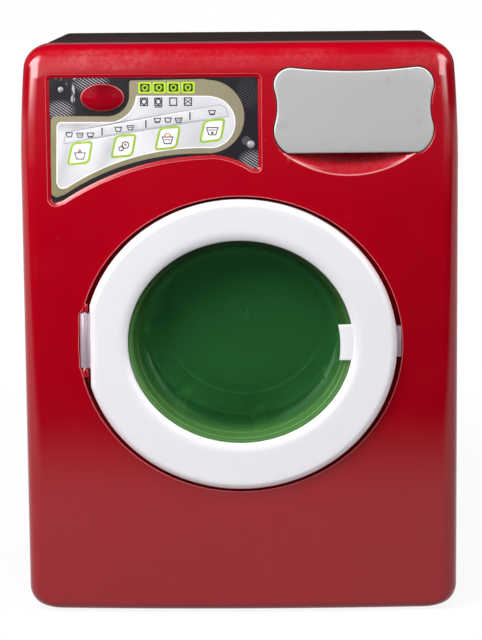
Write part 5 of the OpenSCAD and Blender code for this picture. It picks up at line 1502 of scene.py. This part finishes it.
class WASHER_OT_button(WasherPiece, bpy.types.Operator):
    """Builds the clear red oval button and finishes the switch behind it"""
    bl_idname = "washer.button"
    bl_label = "Button"

    def execute(self, context):
        scene = context.scene
        form = FrontForm(scene.washer_body)
        c, b = sizes(scene, "controls", "body")
        x, z = c.button_x, b.height - c.button_drop
        film = float(form.face_y(x)) + c.film_depth
        half, k = c.button_width / 2, c.button_height / c.button_width
        crown = c.button_proud - 1
        r = (half ** 2 + crown ** 2) / (2 * crown)
        top = film - c.button_proud
        skin = Skin()
        flange, flange_front, flange_back = half + 1.4, 6.85, 8.05
        profile = [(flange, flange_back), (flange, flange_front), (half, flange_front)]
        edge = top + crown
        profile += [(half, edge + 0.5), (half - 0.05, edge + 0.22), (half - 0.2, edge - 0.02)]
        profile += [(half * t, top + r - math.sqrt(r * r - (half * t) ** 2))
                    for t in (0.955, 0.9, 0.8, 0.66, 0.5, 0.34, 0.18, 0.01)]
        rings = ovals(profile, x, z, 96, k)
        made = skin.rings(rings[:5])
        made += skin.rings(rings[4:7], slot=1)[1:]
        made += skin.rings(rings[6:])[1:]
        skin.face(made[-1])
        stem_r, stem_end, bore = 1.6, 15.3, half - 1.3
        inner = [(bore, flange_back), (bore, edge + 1.6), (bore - 1.1, edge + 0.9), (stem_r, edge + 0.6)]
        within = skin.rings([[(px, py, pz) for px, pz in oval(q, max(q * k, min(q, stem_r)), x, z, 96)]
                             for q, py in inner])
        skin.strip(made[0], within[0])
        skin.face(skin.rings(ovals([(stem_r, edge + 0.6), (stem_r, stem_end)], x, z, 96))[-1])
        lit_edge = moulded("lit_button_edge", (0.62, 0.13, 0.14, 1.0))
        skin.piece("clear_red_button_cap", [self.cap(scene), lit_edge],
                   "button", "power_button", sharp=40)
        dress(["button_spring", "board_screws", "guide_screws", "gearbox_screws"], self.steel(scene), "steel")
        dress(["push_switch"], moulded("switch_body", self.finish(scene, "rubber"), rough=0.4),
              "inner_plastic")
        dress(["lamp"], moulded("milky_lamp", (0.85, 0.80, 0.70, 1.0), rough=0.2), "inner_plastic")
        dress(["circuit_board"], moulded("lacquered_board", self.finish(scene, "board"), rough=0.3,
                                         grain=0.02, variation=0.2), "board")
        return {"FINISHED"}

    def cap(self, scene):
        """Clear red plastic over a dark well: brighter below, where the light from above comes out."""
        material = tinted_plastic("clear_red_button", self.finish(scene, "button"), (0.75, 0.05, 0.08), 0.72,
                                  rough=0.12, shine=0.03)
        n = Nodes.over(material)
        fall = n.ramp(n.split(n.place)[2], 0.239, 0.2325, smooth=False)
        n.link(n.mix(fall, (0.20, 0.002, 0.008, 1.0), n.tone), n.base)
        return material


class WASHER_OT_drawer(WasherPiece, bpy.types.Operator):
    """Builds the grey drawer front with its tray"""
    bl_idname = "washer.drawer"
    bl_label = "Drawer"

    def execute(self, context):
        scene = context.scene
        form = FrontForm(scene.washer_body)
        c, b = sizes(scene, "controls", "body")
        skin = Skin()
        outline = plate_outline(scene, 0.0)
        back = c.well_depth - 0.3
        e = 0.7
        rings = [[(x, back, z) for x, z in outline]]
        for k in range(7):
            a = math.radians(90 * k / 6)
            rings.append([(x, float(form.face_y(x)) + e * (1 - math.sin(a)), z)
                          for x, z in grown(outline, -e * (1 - math.cos(a)))])
        made = skin.rings(rings[:4]) + skin.rings(rings[3:6], slot=1)[1:]
        made += skin.rings(rings[5:])[1:]
        inner = [(x, z) for x, _, z in rings[-1]]

        for edge, pitch, depth in ((inner, 3.0, lambda x, z: float(form.face_y(x))),
                                   (outline, 6.0, lambda x, z: back)):
            skin.sheet(*filled([edge], pitch, lambda x, z: inside(x, z, edge)), depth)
        self.tray(skin, c, b, back)
        skin.piece("grey_detergent_drawer", [moulded(
            "satin_grey_drawer", self.finish(scene, "drawer"), rough=0.3, grain=0.006, variation=0.015),
            self.painted_highlight_edge(scene)],
            "drawer", "detergent_drawer", sharp=36)
        dress(["drawer_guide"], self.inner_plastic(scene), "inner_plastic")
        return {"FINISHED"}

    def painted_highlight_edge(self, scene):
        """The rounded edge of the drawer's front, with a painted highlight: bright above, plain below."""
        n = Nodes("drawer_front_edge")
        top, grey = scene.washer_body.height, self.finish(scene, "drawer")
        fall = n.ramp(n.split(n.place)[2], top - 0.046, top - 0.036)
        grain = n.mix(n.noise(200.0), shade(grey, 0.9), shade(grey, 1.0))
        n.shader(Base_Color=n.mix(fall, grain, (0.93, 0.92, 0.93, 1.0)), Roughness=0.25,
                 Normal=n.bump(n.noise(900.0), 0.05, 0.000004))
        return n.material

    def tray(self, skin, c, b, back):
        """The open tray: outer walls, floor, rounded rims and the divider."""
        half, z0, h = tray_place(c, b)
        x0, w, wall, end = c.drawer_x - half, 2 * half, 1.5, back + 62.0
        # The divider leaves a wide compartment and a narrow one
        split = x0 + w * 0.62
        parts = [((x0, back - 0.3, z0), (x0 + w, end, z0 + wall)),
                 ((x0, back - 0.3, z0), (x0 + wall, end, z0 + h)),
                 ((x0 + w - wall, back - 0.3, z0), (x0 + w, end, z0 + h)),
                 ((x0, end - wall, z0), (x0 + w, end, z0 + h)),
                 ((x0, back - 0.3, z0), (x0 + w, back + wall, z0 + h)),
                 ((split, back, z0 + 0.4), (split + wall, end - 0.4, z0 + h - 0.4))]
        for low, high in parts:
            skin.block(low, high, edge=0.3)
        for side in (-1, 1):
            mid = c.drawer_x + side * 26.6
            skin.block((mid - 0.62, 52.6, z0 + h / 2 - 0.8), (mid + 0.6, end, z0 + h / 2 + 0.8), edge=0.2)


class WASHER_OT_drum(WasherPiece, bpy.types.Operator):
    """Gives the drum and its drive their finishes"""
    bl_idname = "washer.drum"
    bl_label = "Drum and Drive"

    def execute(self, context):
        scene = context.scene
        pale = moulded("moulded_pale_drum", self.finish(scene, "drum"), rough=0.34, grain=0.006,
                       variation=0.02)
        dress(["drum"], self.drum_painted_light(pale, scene), "pale_drum")
        dress(["drum_shaft", "drum_screw", "gear_pins", "motor_shaft"], self.steel(scene), "steel")
        gear = moulded("milky_gear_plastic", self.finish(scene, "gear"), rough=0.36, grain=0.004,
                       variation=0.03)
        dress(["drum_gear", "second_gear", "first_gear", "motor_pinion"], gear, "gear_plastic")
        dress(["gear_case", "gear_cover", "battery_box"], self.inner_plastic(scene), "inner_plastic")
        brass = bright_metal("plain_brass", self.finish(scene, "brass"), rough=0.3)
        dress(["drum_bush", "battery_contacts"], brass, "brass")
        dress(["motor"], bright_metal("motor_can", self.finish(scene, "steel"), rough=0.34), "motor_can")
        jacket = moulded("cell_jacket", self.finish(scene, "cell"), rough=0.25, variation=0.08)
        dress(["batteries"], jacket, "cell")
        return {"FINISHED"}

    def drum_painted_light(self, material, scene):
        """Painted light on the drum: pale rims round its bottom and paler ends on its fins are painted
        highlights, and its inner disc is darker with painted shade.
        """
        n = Nodes.over(material)
        place = n.split(n.place)
        z = n.math("SUBTRACT", place[2], scene.washer_door.centre)
        far = n.radius(place[0], z)
        # Painted highlights: pale rims, on the drum's lower side only
        below = n.ramp(z, -0.014, -0.028)
        rims = n.most([n.ramp(n.gap(far, r), 0.0009, 0.0003) for r in (0.0398, 0.0496)])
        # Eight fins: the angle from the middle of the nearest one, for the painted highlights on their ends
        turned = n.math("SUBTRACT", n.math("ARCTAN2", z, place[0]), math.radians(8.6))
        away = n.math("PINGPONG", turned, math.radians(22.5))
        ends = n.product(n.ramp(away, math.radians(3.6), math.radians(2.6)), n.ramp(far, 0.0455, 0.0475))
        # Painted shade: the inner disc is darker
        inner = n.ramp(far, 0.046, 0.036)
        tone = n.mix(n.product(inner, 0.55), n.tone, shade(scene.washer_finish.drum, 0.25))
        pale = n.most([ends, n.product(rims, below, 0.9)])
        n.link(n.mix(pale, tone, (1.0, 1.0, 0.80, 1.0)), n.base)
        return material


class WASHER_OT_stage(WasherPiece, bpy.types.Operator):
    """Sets the white floor, the lamps, the soft light all round and the camera"""
    bl_idname = "washer.stage"
    bl_label = "Stage"
    # Each lamp's name, its power's property, place, aim and size
    LAMPS = (("key_lamp", "key", (-0.62, -0.72, 0.95), (0.0, -0.05, 0.13), (0.5, 0.5)),
             ("fill_lamp", "fill", (0.95, -1.25, 1.1), (0.0, -0.05, 0.13), (0.9, 0.9)),
             ("top_lamp", "top", (0.0, -0.32, 0.64), (0.0, -0.05, 0.2), (0.5, 0.2)),
             ("left_panel", "sides", (-1.3, -0.25, 0.75), (0.0, -0.25, 0.75), (1.1, 1.15)),
             ("right_panel", "sides", (1.3, -0.25, 0.75), (0.0, -0.25, 0.75), (1.1, 1.15)),
             ("back_lamp", "back", (0.55, 1.25, 0.75), (0.0, 0.05, 0.13), (0.8, 0.8)))

    def execute(self, context):
        scene = context.scene
        s = scene.washer_stage
        self.floor(s)
        self.world(scene, s)
        for name, power, place, aim, size in self.LAMPS:
            self.lamp(name, getattr(s, power), place, aim, size)
        self.camera(scene, s)
        scene.view_settings.view_transform = "Standard"
        return {"FINISHED"}

    def floor(self, s):
        mesh = bpy.data.meshes.new("floor")
        n, radii = 96, (0.3, 0.8, 2.0, 6.0)
        points, faces = [(0.0, 0.0, 0.0)], []
        for r in radii:
            points += [(x, y, 0.0) for x, y in oval(r, r, 0.0, 0.0, n)]
        for i in range(n):
            j = (i + 1) % n
            faces.append((0, 1 + i, 1 + j))
            for k in range(len(radii) - 1):
                a, b = 1 + k * n, 1 + (k + 1) * n
                faces.append((a + i, b + i, b + j, a + j))
        mesh.from_pydata(points, [], faces)
        obj = bpy.data.objects.new("floor", mesh)
        bpy.context.scene.collection.objects.link(obj)
        n = Nodes("white_floor")
        rays = n.add("ShaderNodeLightPath").outputs
        place = n.split(n.place)
        far = n.radius(place[0], place[1])
        seen = n.add("ShaderNodeAddShader")
        n.link(n.white("ShaderNodeEmission", n.ramp(far, 0.3, 1.1, 0.90, 1.0)), seen.inputs[0])
        n.link(n.matt(0.10), seen.inputs[1])
        # Seen in gloss, the white ends a little way in front of the machine and comes back far off
        front = -0.09 - s.reach
        lit = n.product(n.ramp(place[1], front - 0.16, front + 0.10), 0.95)
        distant = n.product(n.ramp(far, 1.8, 6.0, smooth=False), n.ramp(place[1], -0.5, -1.5),
                            n.ramp(n.math("ABSOLUTE", place[0]), 0.5, 3.0, 0.45, 1.5))
        mirrored = n.white("ShaderNodeEmission", n.total(lit, distant))
        light = n.either(rays["Is Glossy Ray"], n.matt(0.36), mirrored)
        n.link(n.either(rays["Is Camera Ray"], light, seen.outputs[0]), n.out.inputs[0])
        mesh.materials.append(n.material)

    def world(self, scene, s):
        """White for the camera and through glass, a studio for gloss, and soft light for the rest."""
        world = scene.world or bpy.data.worlds.new("studio")
        scene.world = world
        world.use_nodes = True
        world.node_tree.nodes.clear()
        world.node_tree.nodes.new("ShaderNodeOutputWorld")
        n = Nodes.over(world)
        rays = n.add("ShaderNodeLightPath").outputs
        x, y, z = n.split(n.add("ShaderNodeTexCoord").outputs["Generated"])

        def ramp(value, low, high, start=0.0, end=1.0):
            return n.ramp(value, low, high, start, end, smooth=False)

        # Gloss sees a pale backdrop low behind the machine, a dim screen over the camera and two bright boxes
        backdrop = n.product(ramp(y, 0.1, 0.6, 0.0, 0.15), ramp(z, 0.3, 0.5, 1.0, 0.02))
        boxes = n.total(ramp(x, -0.22, -0.42, 0.0, 15.0), ramp(x, 0.2, 0.42, 0.0, 11.0),
                        ramp(x, -0.26, -0.06, 1.5, 0.42))
        limits = n.product(ramp(y, 0.05, -0.1), ramp(z, -0.045, -0.01), ramp(z, 0.95, 0.8),
                           ramp(x, -0.96, -0.84), ramp(x, 0.9, 0.75))
        white, soft, studio = (n.white("ShaderNodeBackground", v)
                               for v in (1.0, s.ambient, n.total(backdrop, n.product(limits, boxes))))
        light = n.either(rays["Is Glossy Ray"], soft, studio)
        light = n.either(rays["Is Transmission Ray"], light, white)
        n.link(n.either(rays["Is Camera Ray"], light, white), n.out.inputs[0])

    def lamp(self, name, power, place, aim, size):
        """A rectangular lamp that gloss doesn't show."""
        data = bpy.data.lights.new(name, "AREA")
        data.shape = "RECTANGLE"
        data.size, data.size_y = size
        data.energy = power
        obj = bpy.data.objects.new(name, data)
        bpy.context.scene.collection.objects.link(obj)
        obj.location = place
        obj.visible_glossy = False
        obj.rotation_euler = (Vector(aim) - Vector(place)).to_track_quat("-Z", "Y").to_euler()

    def camera(self, scene, s):
        data = bpy.data.cameras.new("photo_camera")
        data.lens, data.sensor_width, data.sensor_fit = s.lens, 36.0, "AUTO"
        obj = bpy.data.objects.new("photo_camera", data)
        scene.collection.objects.link(obj)
        yaw, pitch, roll = s.camera_yaw, s.camera_pitch, s.camera_roll
        ahead = Vector((math.sin(yaw) * math.cos(pitch), math.cos(yaw) * math.cos(pitch), -math.sin(pitch)))
        right = Vector((math.cos(yaw), -math.sin(yaw), 0.0))
        up = right.cross(ahead)
        r = right * math.cos(roll) + up * math.sin(roll)
        u = -right * math.sin(roll) + up * math.cos(roll)
        matrix = Matrix((r, u, -ahead)).transposed().to_4x4()
        matrix.translation = Vector(s.camera_place)
        obj.matrix_world = matrix
        scene.camera = obj


class WASHER_PT_panel(bpy.types.Panel):
    """Lists the steps that build the washing machine"""
    bl_idname = "WASHER_PT_panel"
    bl_label = "Toy Washing Machine"
    bl_space_type = "VIEW_3D"
    bl_region_type = "UI"
    bl_category = "Washer"

    def draw(self, context):
        for step in STEPS:
            self.layout.operator(step.bl_idname)
        for name, group in GROUPS.items():
            box = self.layout.box()
            box.label(text=group.__doc__)
            for key in group.__annotations__:
                box.prop(getattr(context.scene, name), key)


STEPS = (WASHER_OT_front_shell, WASHER_OT_housing, WASHER_OT_door, WASHER_OT_panel, WASHER_OT_button,
         WASHER_OT_drawer, WASHER_OT_drum, WASHER_OT_stage)


def register():
    for kind in (*GROUPS.values(), *STEPS, WASHER_PT_panel):
        bpy.utils.register_class(kind)
    for name, group in GROUPS.items():
        setattr(bpy.types.Scene, name, PointerProperty(type=group))


def unregister():
    for name in GROUPS:
        delattr(bpy.types.Scene, name)
    for kind in reversed((*GROUPS.values(), *STEPS, WASHER_PT_panel)):
        bpy.utils.unregister_class(kind)


def main():
    register()
    for step in STEPS:
        group, name = step.bl_idname.split(".")
        if getattr(getattr(bpy.ops, group), name)() != {"FINISHED"}:
            raise RuntimeError(f"{step.bl_label} did not finish")


if __name__ == "__main__":
    main()
